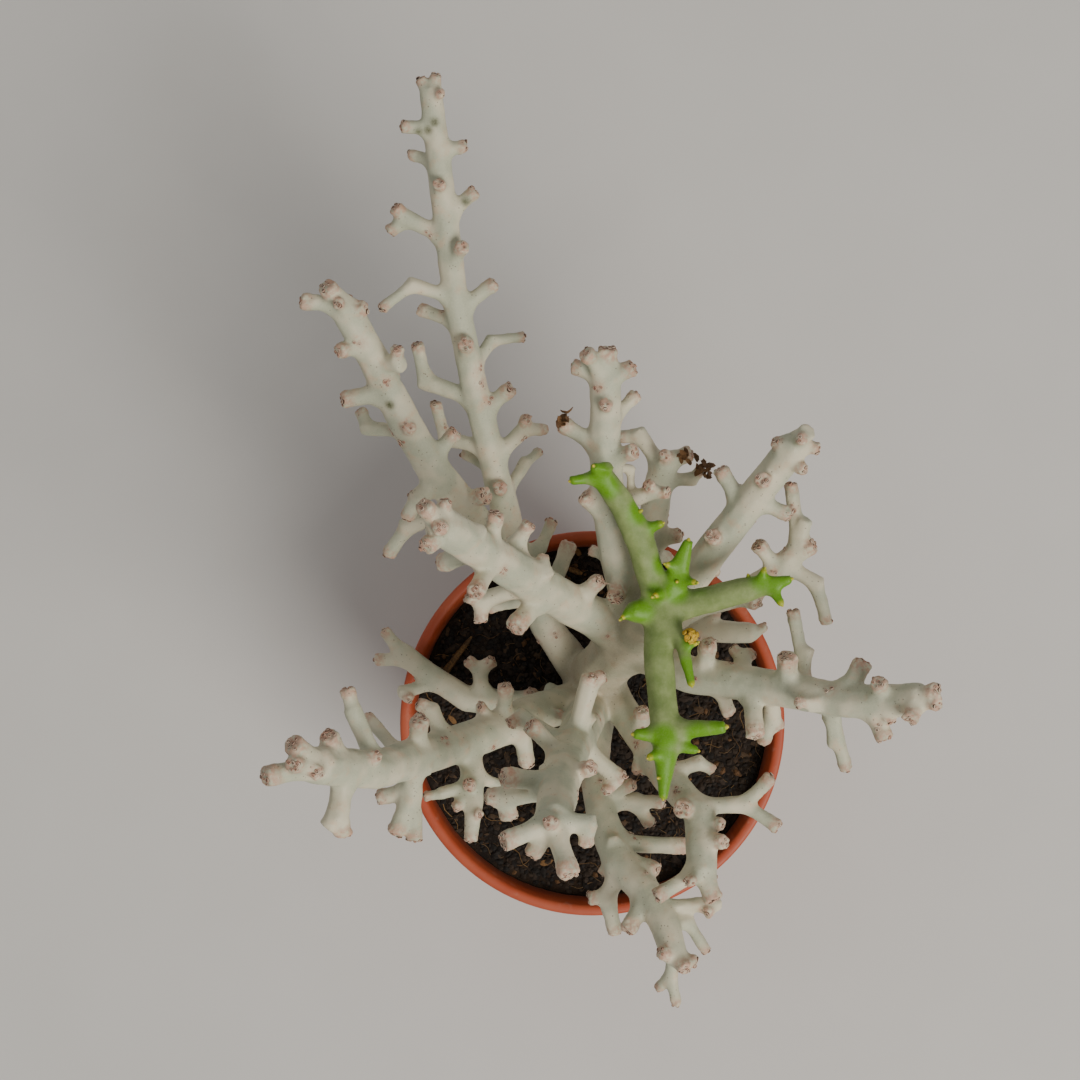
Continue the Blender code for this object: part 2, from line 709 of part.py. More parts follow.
def make_sliver(name, share, direction, heading, length, width, material):
    """A thin, tapering splinter of bark that lies just clear of the soil."""
    middle = level(direction) * share * soil_radius()
    ahead = level(heading)
    across = level(heading + 90)
    stations = [middle + ahead * along_it * length * MM for along_it, _ in SLIVER_OUTLINE]
    lift = max(soil_height(station.x, station.y) for station in stations) + 2 * GAP
    shape = bmesh.new()
    rings = []
    for centre, (_, half) in zip(stations, SLIVER_OUTLINE):
        centre.z = lift
        reach = across * half * width * MM
        thick = Vector((0, 0, SLIVER_THICK * (0.5 + half)))
        over = centre + thick
        corners = (centre - reach, centre + reach, over + reach * SLIVER_TOP, over - reach * SLIVER_TOP)
        rings.append([shape.verts.new(corner) for corner in corners])
    for lower, upper in zip(rings, rings[1:]):
        for k in range(4):
            after = (k + 1) % 4
            shape.faces.new((lower[k], lower[after], upper[after], upper[k]))
    shape.faces.new(reversed(rings[0]))
    shape.faces.new(rings[-1])
    return object_from(name, shape, material)


def main():
    clear_scene()
    waxy = make_material("waxy_stem", WAXY_STEM, 0.5)
    bark = make_material("old_stem_bark", OLD_BARK, 0.7)
    green = make_material("young_green", YOUNG_GREEN, 0.42)
    trunk_room = make_plant(waxy, bark, green)
    make_pot(make_material("terracotta_plastic", TERRACOTTA, 0.45))
    make_soil(make_material("peat", PEAT, 0.95), trunk_room)
    straw = make_material("straw", STRAW, 0.8)
    for name, sizes in SLIVERS.items():
        make_sliver(name, *sizes, straw)


main()
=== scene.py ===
# %% [markdown]
# # A potted coral euphorbia
# The plant is a pale, leafless euphorbia whose stems branch like antlers. It stands in a small
# terracotta-coloured plastic pot of dark peat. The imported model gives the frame: one closed, plain
# solid for each stem, the trunk, the shoots, the soil and the pot. This lesson grows the living
# surface over that frame, and each cell adds one thing that the real plant shows.

# %% Load the frame
import json
import math

import bmesh
import bpy
import numpy as np
from mathutils import Matrix, Vector, kdtree, noise
from mathutils.bvhtree import BVHTree

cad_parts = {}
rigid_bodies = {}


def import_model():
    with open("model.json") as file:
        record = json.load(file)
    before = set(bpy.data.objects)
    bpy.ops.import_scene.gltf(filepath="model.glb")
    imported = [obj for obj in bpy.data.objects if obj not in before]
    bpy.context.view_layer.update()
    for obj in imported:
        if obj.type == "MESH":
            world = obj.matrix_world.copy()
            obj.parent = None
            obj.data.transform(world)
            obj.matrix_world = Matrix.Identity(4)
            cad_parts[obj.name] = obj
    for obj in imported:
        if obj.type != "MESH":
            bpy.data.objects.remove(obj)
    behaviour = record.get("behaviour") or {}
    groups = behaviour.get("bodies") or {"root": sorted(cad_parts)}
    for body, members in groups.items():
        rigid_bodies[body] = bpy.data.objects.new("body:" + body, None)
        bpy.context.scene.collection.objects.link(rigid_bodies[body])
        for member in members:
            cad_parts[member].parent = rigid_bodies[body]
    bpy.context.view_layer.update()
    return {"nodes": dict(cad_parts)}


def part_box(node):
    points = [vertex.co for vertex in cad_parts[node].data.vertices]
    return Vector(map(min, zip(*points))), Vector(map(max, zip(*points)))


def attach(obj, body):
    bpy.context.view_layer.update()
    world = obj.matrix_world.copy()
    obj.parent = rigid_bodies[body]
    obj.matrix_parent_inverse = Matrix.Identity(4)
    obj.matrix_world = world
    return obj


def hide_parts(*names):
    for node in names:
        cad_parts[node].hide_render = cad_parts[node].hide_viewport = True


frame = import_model()
nodes = frame["nodes"]
MM = 0.001
pot_low, pot_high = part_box("pot")
soil_low, soil_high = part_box("soil")
print("frame of", len(nodes), "nodes, pot rim", round((pot_high.x - pot_low.x) / MM), "mm across")

# %% [markdown]
# ## Looking straight down
# The plant is seen from straight above, so near stem tips look larger than the pot far below them.
# A 75 mm lens 70 cm over the rim gives that perspective. Nothing is tilted or shifted.

# %% Camera
CAMERA_OVER_RIM = 700 * MM
CAMERA_X = -16.3 * MM
CAMERA_Y = 57.1 * MM
LENS_MM = 75
SENSOR_MM = 36
camera_data = bpy.data.cameras.new("overhead_camera")
camera_data.lens = LENS_MM
camera_data.sensor_width = SENSOR_MM
camera = bpy.data.objects.new("overhead_camera", camera_data)
camera.location = (CAMERA_X, CAMERA_Y, pot_high.z + CAMERA_OVER_RIM)
bpy.context.scene.collection.objects.link(camera)
bpy.context.scene.camera = camera
print("camera", round(camera.location.z, 3), "m above the floor")

# %% [markdown]
# ## Soft light from one side
# A wide window-like panel stands low on the right and in front, so the stems shade from their
# lower right to their upper left. A weak panel and a pale sky fill the shadows between the stems.

# %% Light and sky


def add_panel(name, place, size, watts, colour):
    """A square area light that faces the middle of the plant."""
    data = bpy.data.lights.new(name, "AREA")
    data.shape = "SQUARE"
    data.size = size
    data.energy = watts
    data.color = colour
    panel = bpy.data.objects.new(name, data)
    panel.location = place
    aim = Vector((0, 0, pot_high.z)) - Vector(place)
    panel.rotation_mode = "QUATERNION"
    panel.rotation_quaternion = aim.to_track_quat("-Z", "Y")
    bpy.context.scene.collection.objects.link(panel)


SKY_COLOUR = (1.0, 0.985, 0.96, 1)
SKY_STRENGTH = 0.30
# name, place in metres, side in metres, watts, colour
add_panel("window_panel", (0.85, -0.85, 1.55), 0.9, 34, (1.0, 0.96, 0.89))
add_panel("fill_panel", (-0.9, 0.9, 1.5), 1.4, 3, (0.95, 0.97, 1.0))
sky = bpy.data.worlds.new("studio_sky")
sky.use_nodes = True
background = sky.node_tree.nodes["Background"].inputs
background["Color"].default_value = SKY_COLOUR
background["Strength"].default_value = SKY_STRENGTH
bpy.context.scene.world = sky
print("two panels and a pale sky")

# %% [markdown]
# ## Shader maths as Python
# A material is a sum of masks: where the blush lies, where a scar is brown, where skin turns
# green. Wrapping a socket in a small class lets those masks be written as arithmetic. Each
# operator adds the Math node that it stands for, so the node tree says the same as the line of
# Python. Trees that make shapes are written the same way.

# %% Arithmetic on sockets


class Value:
    """A number that varies from place to place. Operators on it add Math nodes."""

    def __init__(self, tree, socket):
        self.tree = tree
        self.socket = socket

    def math(self, operation, first, second):
        return self.tree.add("ShaderNodeMath", {"operation": operation}, {0: first, 1: second})

    def __add__(self, other):
        return self.math("ADD", self, other)

    def __sub__(self, other):
        return self.math("SUBTRACT", self, other)

    def __rsub__(self, other):
        return self.math("SUBTRACT", other, self)

    def __mul__(self, other):
        return self.math("MULTIPLY", self, other)

    def __gt__(self, other):
        return self.math("GREATER_THAN", self, other)

    __radd__ = __add__
    __rmul__ = __mul__

    def ramp(self, low, high):
        """0 below low, 1 above high, with an even S-curve between. low may be the greater."""
        settings = {"interpolation_type": "SMOOTHSTEP"}
        inputs = {0: self, 1: low, 2: high, 3: 0.0, 4: 1.0}
        return self.tree.add("ShaderNodeMapRange", settings, inputs)


class Tree:
    """The nodes and links of a material or a shape."""

    def __init__(self, tree):
        self.nodes = tree.nodes
        self.links = tree.links

    def put(self, socket, value):
        """Links a Value or a socket, or sets a plain number, colour or vector."""
        value = getattr(value, "socket", value)
        if isinstance(value, bpy.types.NodeSocket):
            self.links.new(value, socket)
        elif isinstance(value, tuple) and len(value) == 3 and socket.type == "RGBA":
            socket.default_value = (*value, 1)
        else:
            socket.default_value = value

    def add(self, kind, settings=None, inputs=None, output=0):
        """Any node: its settings first, then its sockets. Gives back the chosen output."""
        node = self.nodes.new(kind)
        for key, value in (settings or {}).items():
            setattr(node, key, value)
        for key, value in (inputs or {}).items():
            self.put(node.inputs[key], value)
        return Value(self, node.outputs[output])


class Paint(Tree):
    """One Principled material, built node by node."""

    def __init__(self, name):
        self.material = bpy.data.materials.new(name)
        self.material.use_nodes = True
        super().__init__(self.material.node_tree)
        self.shader = self.nodes["Principled BSDF"]
        self.place = self.nodes.new("ShaderNodeTexCoord").outputs["Object"]

    def noise(self, size, detail=3.0, roughness=0.55):
        """Cloudy noise from 0 to 1, with lumps of about this size in metres."""
        inputs = {"Vector": self.place, "Scale": 1 / size, "Detail": detail, "Roughness": roughness}
        return self.add("ShaderNodeTexNoise", None, inputs)

    def cells(self, size):
        """Distance to the nearest of many scattered points, in cells of this size in metres."""
        inputs = {"Vector": self.place, "Scale": 1 / size}
        return self.add("ShaderNodeTexVoronoi", {"feature": "F1"}, inputs)

    def attribute(self, name):
        return self.add("ShaderNodeAttribute", {"attribute_name": name}, None, "Fac")

    def mix(self, mask, first, second):
        """first where mask is 0, second where it is 1, for colours."""
        return self.add("ShaderNodeMix", {"data_type": "RGBA"}, {0: mask, 6: first, 7: second}, 2)

    def bump(self, height, distance, strength=1.0):
        inputs = {"Height": height, "Distance": distance, "Strength": strength}
        return self.add("ShaderNodeBump", None, inputs)

    def finish(self, colour, roughness, normal=None, **fixed):
        """Feeds the shader. fixed values are the same all over, and are set on its own sockets."""
        self.put(self.shader.inputs["Base Color"], colour)
        self.put(self.shader.inputs["Roughness"], roughness)
        if normal is not None:
            self.put(self.shader.inputs["Normal"], normal)
        for key, value in fixed.items():
            self.shader.inputs[key.replace("_", " ")].default_value = value
        return self.material


print("paint kit ready")

# %% [markdown]
# ## Geometry Nodes from Python
# A tree that makes a shape gets named inputs, nodes and links, and its result is turned into a
# plain mesh straight away, because a finished piece has no live modifier.

# %% A kit for shape trees


def evaluated_mesh(obj):
    """A plain mesh of obj with its modifiers in it."""
    graph = bpy.context.evaluated_depsgraph_get()
    return bpy.data.meshes.new_from_object(obj.evaluated_get(graph), depsgraph=graph)


class ShapeTree(Tree):
    """A Geometry Nodes tree with named inputs."""

    def __init__(self, name, **inputs):
        self.group = bpy.data.node_groups.new(name, "GeometryNodeTree")
        super().__init__(self.group)
        face = self.group.interface
        face.new_socket("Geometry", in_out="INPUT", socket_type="NodeSocketGeometry")
        face.new_socket("Geometry", in_out="OUTPUT", socket_type="NodeSocketGeometry")
        self.ids = {}
        self.values = inputs
        for label, value in inputs.items():
            kind = "NodeSocketInt" if isinstance(value, int) else "NodeSocketFloat"
            self.ids[label] = face.new_socket(label, in_out="INPUT", socket_type=kind).identifier
        self.start = self.nodes.new("NodeGroupInput")
        self.end = self.nodes.new("NodeGroupOutput")
        self.geometry = self.start.outputs["Geometry"]

    def get(self, label):
        return Value(self, self.start.outputs[label])

    def mark(self, name, kind="FLOAT"):
        """A stored attribute, read by name."""
        return self.add("GeometryNodeInputNamedAttribute", {"data_type": kind}, {"Name": name})

    def random(self, low, high, seed):
        inputs = {2: low, 3: high, "Seed": seed}
        return self.add("FunctionNodeRandomValue", {"data_type": "FLOAT"}, inputs, 1)

    def stand_copies(self, points, way, size, template, material, seed, tint_seed):
        """Ends the tree: copies of template on points, spun about their way, each with a tint."""
        spin = self.add("ShaderNodeCombineXYZ", None, {"Z": self.random(0.0, math.tau, seed)})
        local = {"rotation_space": "LOCAL"}
        turned = self.add("FunctionNodeRotateRotation", local, {"Rotation": way, "Rotate By": spin})
        original = {"transform_space": "ORIGINAL"}
        source = self.add("GeometryNodeObjectInfo", original, {"Object": template}, "Geometry")
        inputs = {"Points": points, "Instance": source, "Rotation": turned, "Scale": size}
        copies = self.add("GeometryNodeInstanceOnPoints", None, inputs)
        by_copy = {"data_type": "FLOAT", "domain": "INSTANCE"}
        inputs = {"Geometry": copies, "Name": "tint", "Value": self.random(0.0, 1.0, tint_seed)}
        tinted = self.add("GeometryNodeStoreNamedAttribute", by_copy, inputs)
        real = self.add("GeometryNodeRealizeInstances", None, {"Geometry": tinted})
        inputs = {"Geometry": real, "Material": material}
        self.close(self.add("GeometryNodeSetMaterial", None, inputs))

    def close(self, geometry):
        self.put(self.end.inputs[0], geometry)

    def apply_to(self, obj):
        """The mesh that the tree makes of obj. obj keeps its own mesh and no modifier."""
        modifier = obj.modifiers.new("shape", "NODES")
        modifier.node_group = self.group
        for label, value in self.values.items():
            modifier[self.ids[label]] = value
        obj.update_tag()
        mesh = evaluated_mesh(obj)
        obj.modifiers.clear()
        return mesh


def link_object(name, mesh, material=None):
    obj = bpy.data.objects.new(name, mesh)
    bpy.context.scene.collection.objects.link(obj)
    if material is not None:
        mesh.materials.clear()
        mesh.materials.append(material)
    return obj


def link_template(name, mesh):
    """A small shape that trees copy. It isn't rendered itself."""
    template = link_object(name, mesh)
    template.hide_render = True
    return template


def mesh_from(name, shape):
    """A mesh of a bmesh, which is freed."""
    mesh = bpy.data.meshes.new(name)
    shape.to_mesh(mesh)
    shape.free()
    return mesh


def baked(obj):
    """obj's mesh with its modifiers in it. obj is removed."""
    mesh = evaluated_mesh(obj)
    bpy.data.objects.remove(obj)
    return mesh


def circle(steps):
    """The cosine and sine of even steps round a circle."""
    turns = [math.tau * k / steps for k in range(steps)]
    return [(math.cos(turn), math.sin(turn)) for turn in turns]


def onward(ring):
    """A ring's points, each one step further round."""
    return [*ring[1:], ring[0]]


def finder_of(points):
    """A tree that finds the nearest of some points, by its number."""
    finder = kdtree.KDTree(len(points))
    for index, point in enumerate(points):
        finder.insert(point, index)
    finder.balance()
    return finder


def keep_piece(obj, slot_name, *stands_for):
    """Hands a finished piece to the frame."""
    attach(obj, "root")
    if stands_for:
        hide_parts(*stands_for)
    print(obj.name, len(obj.data.polygons), "faces for", *(stands_for or ["no node"]))


print("shape kit ready")

# %% [markdown]
# ## Finding the twig ends
# Every twig of this plant stops in a blunt end ringed with the scars of old flowers. On the
# frame's solids an end is a flat, nearly regular polygon. Merging each solid's triangles back
# into flat faces shows those polygons, and each gives a middle, a direction and a radius.

# %% Twig ends
PLANT = [name for name in nodes if name == "trunk" or name.endswith(("_stem", "_shoots"))]
FLAT = math.radians(3)
END_CORNERS = (5, 6, 8)
LARGEST_END = 6 * MM
# The shortest spoke as a share of the longest, and the area as a share of a circle's
LEAST_EVEN = 0.8
LEAST_ROUND = 0.68


def clean_copy(node_name):
    """A bmesh of a node with its loose triangles joined up."""
    shape = bmesh.new()
    shape.from_mesh(nodes[node_name].data)
    bmesh.ops.remove_doubles(shape, verts=shape.verts, dist=0.002 * MM)
    return shape


def twig_ends_of(node_name):
    """Middle, direction and radius of each end of a node's twigs."""
    shape = clean_copy(node_name)
    bmesh.ops.dissolve_limit(shape, angle_limit=FLAT, verts=shape.verts, edges=shape.edges)
    ends = []
    for face in shape.faces:
        if len(face.verts) not in END_CORNERS:
            continue
        middle = face.calc_center_median()
        spokes = [(vert.co - middle).length for vert in face.verts]
        radius = sum(spokes) / len(spokes)
        even = min(spokes) > LEAST_EVEN * max(spokes)
        full = face.calc_area() > LEAST_ROUND * (math.pi * radius**2)
        if even and full and max(spokes) < LARGEST_END:
            ends.append((middle.copy(), face.normal.copy(), radius))
    shape.free()
    return ends


twig_ends = {name: twig_ends_of(name) for name in PLANT if name != "trunk"}
# Ends of the near stem that its own side twigs hide from the search: middle in mm, direction,
# radius
HIDDEN_ENDS = (
    ((-1.6, 18.4, 159.4), (0.16, 0.63, 0.76), 2.3),
    ((7.9, -11.0, 147.9), (0.76, 0.26, 0.59), 2.2),
)
for middle, way, radius in HIDDEN_ENDS:
    twig_ends["south_near_stem"].append((Vector(middle) * MM, Vector(way), radius * MM))
all_ends = [end for ends in twig_ends.values() for end in ends]
end_finder = finder_of([middle for middle, _, _ in all_ends])
print(len(all_ends), "twig ends")

# %% [markdown]
# ## One living skin
# Stem, twig and trunk flow into each other on the real plant, with soft hollows in every fork.
# The separate solids can't do that. So a slightly swollen copy of all of them is melted into one
# closed surface with a voxel remesh, then relaxed until the edges of the old prisms are gone.

# %% Roots of the stems
# Each stem rises out of another: (x, y, height over the rim, radius) in mm, from the stem back to
# the heart of what bears it. These lengths fill the forks, where the frame keeps its pieces
# apart.
COLLARS = (
    ((-8, 21, 4, 5.4), (-1, 12, 0, 6.6), (-3, 7, -6, 6.2)),
    ((-29, 56.5, 27, 5.1), (-23, 51, 20, 5.5), (-18, 40, 13.5, 4.9)),
    ((0, 34, 41, 6.2), (7, 30, 32, 7.2), (5, 22, 20, 7.4)),
    ((8, 43, 45, 5.1), (11, 35, 40, 6.0), (10, 28, 30, 6.6)),
    ((12, 36, 20, 4.7), (10, 27, 18, 5.4), (3, 19, 12, 5.8)),
    ((22, 39, 42, 5.3), (17, 33, 38, 6.0), (12, 28, 34, 6.4)),
    ((24, 34, 30, 4.1), (18, 30, 26, 4.8), (8, 24, 23, 5.4)),
    ((20, 21, 38, 5.7), (14, 24, 32, 6.6), (7, 22, 22, 6.8)),
    ((18, 22, 16, 4.1), (11, 20.5, 15, 4.8), (3, 18, 12, 5.4)),
    ((9, 5, 15, 5.0), (5, 11, 10, 5.9), (0, 12, 2, 6.4)),
    ((1, -2, 8, 5.3), (2, 6, 2, 6.2), (-3, 6, -6, 6.4)),
    ((-2, 4, 18, 6.3), (-1, 6, 6, 7.2), (-3, 6, -5, 6.8)),
    ((-10, 6.5, 14, 6.0), (-3, 8, 4, 7.0), (-4, 6, -6, 6.8)),
    ((-36.5, -4, 50, 3.6), (-36.5, 0, 46, 4.4), (-33, 0, 44, 4.6)),
    ((-14, 5.5, 0, 4.7), (-5, 5, -2, 5.6), (-4, 4, -10, 5.8)),
    ((18, 37, 64, 4.7), (18, 37, 58, 5.8), (16, 34, 50, 6.4)),
)


def over_rim(x, y, height):
    return Vector((x * MM, y * MM, pot_high.z + height * MM))


def add_tube(shape, points, radii, sides=12):
    """A closed tube with domed ends, added to a bmesh."""
    first = (points[0] - points[1]).normalized()
    last = (points[-1] - points[-2]).normalized()
    points = [points[0] + first * radii[0] * 0.5, *points, points[-1] + last * radii[-1] * 0.5]
    radii = [radii[0] * 0.55, *radii, radii[-1] * 0.55]
    side = Vector((0.31, 0.17, 0.93))
    rings = []
    for i, (point, radius) in enumerate(zip(points, radii)):
        ahead = (points[min(i + 1, len(points) - 1)] - points[max(i - 1, 0)]).normalized()
        side = (side - ahead * side.dot(ahead)).normalized()
        across = ahead.cross(side)
        spokes = [(side * cos + across * sin) * radius for cos, sin in circle(sides)]
        rings.append([shape.verts.new(point + spoke) for spoke in spokes])
    for lower, upper in zip(rings, rings[1:]):
        for corners in zip(lower, onward(lower), onward(upper), upper):
            shape.faces.new(corners)
    shape.faces.new(rings[0][::-1])
    shape.faces.new(rings[-1])


print(len(COLLARS), "collars")

# %% Melt and relax
VOXEL = 0.58 * MM
SWELL = 0.24 * MM
RELAX_SHARE = 0.5
RELAX_STEPS = 11
HUB_RELAX_STEPS = 45
STEM_RELAX = 0.32
HUB_REACH = 9 * MM
# How wide an end's rim becomes, and how far it moves out, as shares of the end's radius
POINTED = (0.55, 0.45)
BLUNTED = (0.87, 0.08)
# How far out the rim is looked for, in radii, and how much a sharp corner may add to the swelling
RIM_REACH = 1.08
SHARPEST = 1.6
# Nearness to an end, before it is eased: its value on the end, and what each radius takes off
NEAR_START = 1.25
NEAR_FALL = 0.62
HUB_LEVELS = 10


def draw_in_ends(shape, ends, width, reach):
    """Draws the rim of each end in and out: to a point on young shoots, a little on old twigs."""
    for middle, way, radius in ends:
        for vert in shape.verts:
            if (vert.co - middle).length < RIM_REACH * radius:
                vert.co = middle + (vert.co - middle) * width + way * radius * reach


def swollen_plant():
    """All plant solids in one mesh, each grown a little so that neighbours overlap."""
    whole = bmesh.new()
    for name in PLANT:
        shape = clean_copy(name)
        drawn = POINTED if name == "young_green_shoots" else BLUNTED
        draw_in_ends(shape, twig_ends.get(name, ()), *drawn)
        shape.normal_update()
        for vert in shape.verts:
            vert.co += vert.normal * SWELL * min(vert.calc_shell_factor(), SHARPEST)
        part = mesh_from("part", shape)
        whole.from_mesh(part)
        bpy.data.meshes.remove(part)
    for collar in COLLARS:
        places = [over_rim(*entry[:3]) for entry in collar]
        add_tube(whole, places, [entry[3] * MM for entry in collar])
    return link_object("swollen_plant", mesh_from("swollen_plant", whole))


def points_of(mesh):
    flat = np.empty(len(mesh.vertices) * 3, np.float32)
    mesh.vertices.foreach_get("co", flat)
    return flat.reshape(-1, 3)


def ease(value):
    value = np.clip(value, 0, 1)
    return value * value * (3 - 2 * value)


def nearness_to_ends(points):
    """1 on a twig's end, fading to 0 about two radii down the twig."""
    found = np.zeros(len(points), np.float32)
    for i, point in enumerate(points):
        _, index, distance = end_finder.find(point)
        found[i] = distance / all_ends[index][2]
    return ease(NEAR_START - found * NEAR_FALL)


def hub_weights(points):
    """1 in the forks, where the collars are, and 0 out on the stems."""
    finder = finder_of([over_rim(*entry[:3]) for collar in COLLARS for entry in collar[:2]])
    distance = np.array([finder.find(point)[2] for point in points.tolist()])
    return ease((2 * HUB_REACH - distance) / HUB_REACH)


melting = swollen_plant()
remesh = melting.modifiers.new("melt", "REMESH")
remesh.mode = "VOXEL"
remesh.voxel_size = VOXEL
relax = melting.modifiers.new("relax", "SMOOTH")
relax.factor = RELAX_SHARE
relax.iterations = RELAX_STEPS
plant = link_object("plant", baked(melting))
hub = plant.vertex_groups.new(name="hub")
melted_points = points_of(plant.data)
weights = STEM_RELAX * (1 - nearness_to_ends(melted_points))
weights = np.maximum(weights, hub_weights(melted_points))
for level in range(1, HUB_LEVELS + 1):
    chosen = np.nonzero(np.round(weights * HUB_LEVELS) == level)[0]
    hub.add(chosen.tolist(), level / HUB_LEVELS, "REPLACE")
settle = plant.modifiers.new("settle_forks", "SMOOTH")
settle.factor = RELAX_SHARE
settle.iterations = HUB_RELAX_STEPS
settle.vertex_group = "hub"
plant = link_object("plant", baked(plant))
print("melted skin of", len(plant.data.polygons), "faces")

# %% [markdown]
# ## Marks on the skin
# Materials need to know where they are: how near a twig's end, how near the young green growth.
# Each answer is stored as an attribute, one number for each point, which a material can read by
# name.

# %% Where the skin is


def store(mesh, name, values):
    layer = mesh.attributes.new(name, "FLOAT", "POINT")
    layer.data.foreach_set("value", np.asarray(values, np.float32))


def owner_of(points):
    """For each point, the plant node whose solid is nearest."""
    corners, triangles, owners = [], [], []
    for number, name in enumerate(PLANT):
        shape = clean_copy(name)
        bmesh.ops.triangulate(shape, faces=shape.faces)
        start = len(corners)
        shape.verts.index_update()
        corners.extend(vert.co.copy() for vert in shape.verts)
        for face in shape.faces:
            triangles.append([start + vert.index for vert in face.verts])
            owners.append(number)
        shape.free()
    surface = BVHTree.FromPolygons(corners, triangles)
    return np.array([owners[surface.find_nearest(point)[2]] for point in points], np.int32)


def distance_to(node_name, points):
    shape = clean_copy(node_name)
    surface = BVHTree.FromBMesh(shape)
    reach = 14 * MM
    found = np.full(len(points), reach, np.float32)
    for i, point in enumerate(points):
        hit = surface.find_nearest(point, reach)
        if hit[3] is not None:
            found[i] = hit[3]
    shape.free()
    return found


skin_points = points_of(plant.data)
seekable = [Vector(point) for point in skin_points.tolist()]
end_nearness = nearness_to_ends(seekable)
owner = owner_of(seekable)
shoot_distance = distance_to("young_green_shoots", seekable)
greenness = 1 - ease((shoot_distance / MM - 0.8) / 4.5)
end_nearness *= greenness < 0.5
store(plant.data, "end_nearness", end_nearness)
store(plant.data, "greenness", greenness)
print("marked", len(seekable), "points,", int((greenness > 0.5).sum()), "of them green")

# %% Scars on the bare stems
SIDE_SCARS = 90
SIDE_SCAR_RADIUS = 1.3 * MM
BLUSH_RADIUS = 4.2 * MM

skin_finder = finder_of(seekable)
bare = (end_nearness < 0.05) & (greenness < 0.05) & (skin_points[:, 2] > pot_high.z)
bare = np.nonzero(bare)[0]
draw = np.random.default_rng(7)
side_scars = draw.choice(bare, SIDE_SCARS, replace=False)
scar_zone = (end_nearness > 0.93).astype(np.float32)
blush = end_nearness.copy()
for seed in side_scars.tolist():
    for _, index, distance in skin_finder.find_range(seekable[seed], BLUSH_RADIUS):
        near = 1 - distance / BLUSH_RADIUS
        blush[index] = max(blush[index], 0.75 * near)
        if distance < SIDE_SCAR_RADIUS:
            scar_zone[index] = 1
print(SIDE_SCARS, "scars on the sides of the stems")

# %% [markdown]
# ## Growing unevenly
# No stem is an even tube. It swells a little under each twig and shrinks between them, and its
# ends are crusty. A tree moves every point along its normal by two sizes of noise, with extra on
# the ends.

# %% Uneven growth
SIZES = {"Swelling": 0.8 * MM, "Pitting": 0.24 * MM, "Crust": 1.5 * MM, "Flare": 0.16 * MM}
growth = ShapeTree("uneven_growth", **SIZES)
normal = growth.add("GeometryNodeInputNormal")
where = growth.add("GeometryNodeInputPosition")


def growth_noise(size, detail):
    """Cloudy noise about zero, with lumps of about this size in metres."""
    inputs = {"Vector": where, "Scale": 1 / size, "Detail": detail}
    return growth.add("ShaderNodeTexNoise", None, inputs) - 0.5


slow = growth_noise(9 * MM, 1.0) * growth.get("Swelling")
fine = growth_noise(2.2 * MM, 2.0) * growth.get("Pitting")
crust = growth_noise(2.1 * MM, 1.0) * growth.get("Crust") + growth.get("Flare")
push = slow + fine + crust * growth.mark("end_nearness")
offset = growth.add("ShaderNodeVectorMath", {"operation": "SCALE"}, {0: normal, "Scale": push})
moves = {"Geometry": growth.geometry, "Offset": offset}
growth.close(growth.add("GeometryNodeSetPosition", None, moves))
grown = growth.apply_to(plant)
plant.data = grown
print("skin grown,", len(grown.vertices), "points")

# %% [markdown]
# ## The skin's colours
# The skin is waxy and pale: greenish grey, blushed with peach where it is thick or near an end,
# and dusted with small dark specks. Young growth is leaf green. The same material serves every
# part of the plant, so colour runs across a fork without a seam; the stored marks tell it where
# it is.

# %% Waxy skin material
WAX_PALE = (0.63, 0.58, 0.43)
WAX_GREY = (0.45, 0.465, 0.34)
PEACH = (0.66, 0.37, 0.21)
END_PINK = (0.50, 0.265, 0.185)
SPECK = (0.12, 0.095, 0.07)
# Darker bark colour near the trunk, which also serves as painted shade on the hub and the low stems
BARK_AND_SHADE = (0.33, 0.285, 0.195)
LEAF_GREEN = (0.165, 0.235, 0.062)
PALE_GREEN = (0.285, 0.35, 0.135)
BRIGHT_GREEN = (0.115, 0.29, 0.0)
BUD_YELLOW = (0.62, 0.50, 0.03)
ALGAE = (0.055, 0.062, 0.012)
WAX_BLOOM = (0.73, 0.70, 0.56)


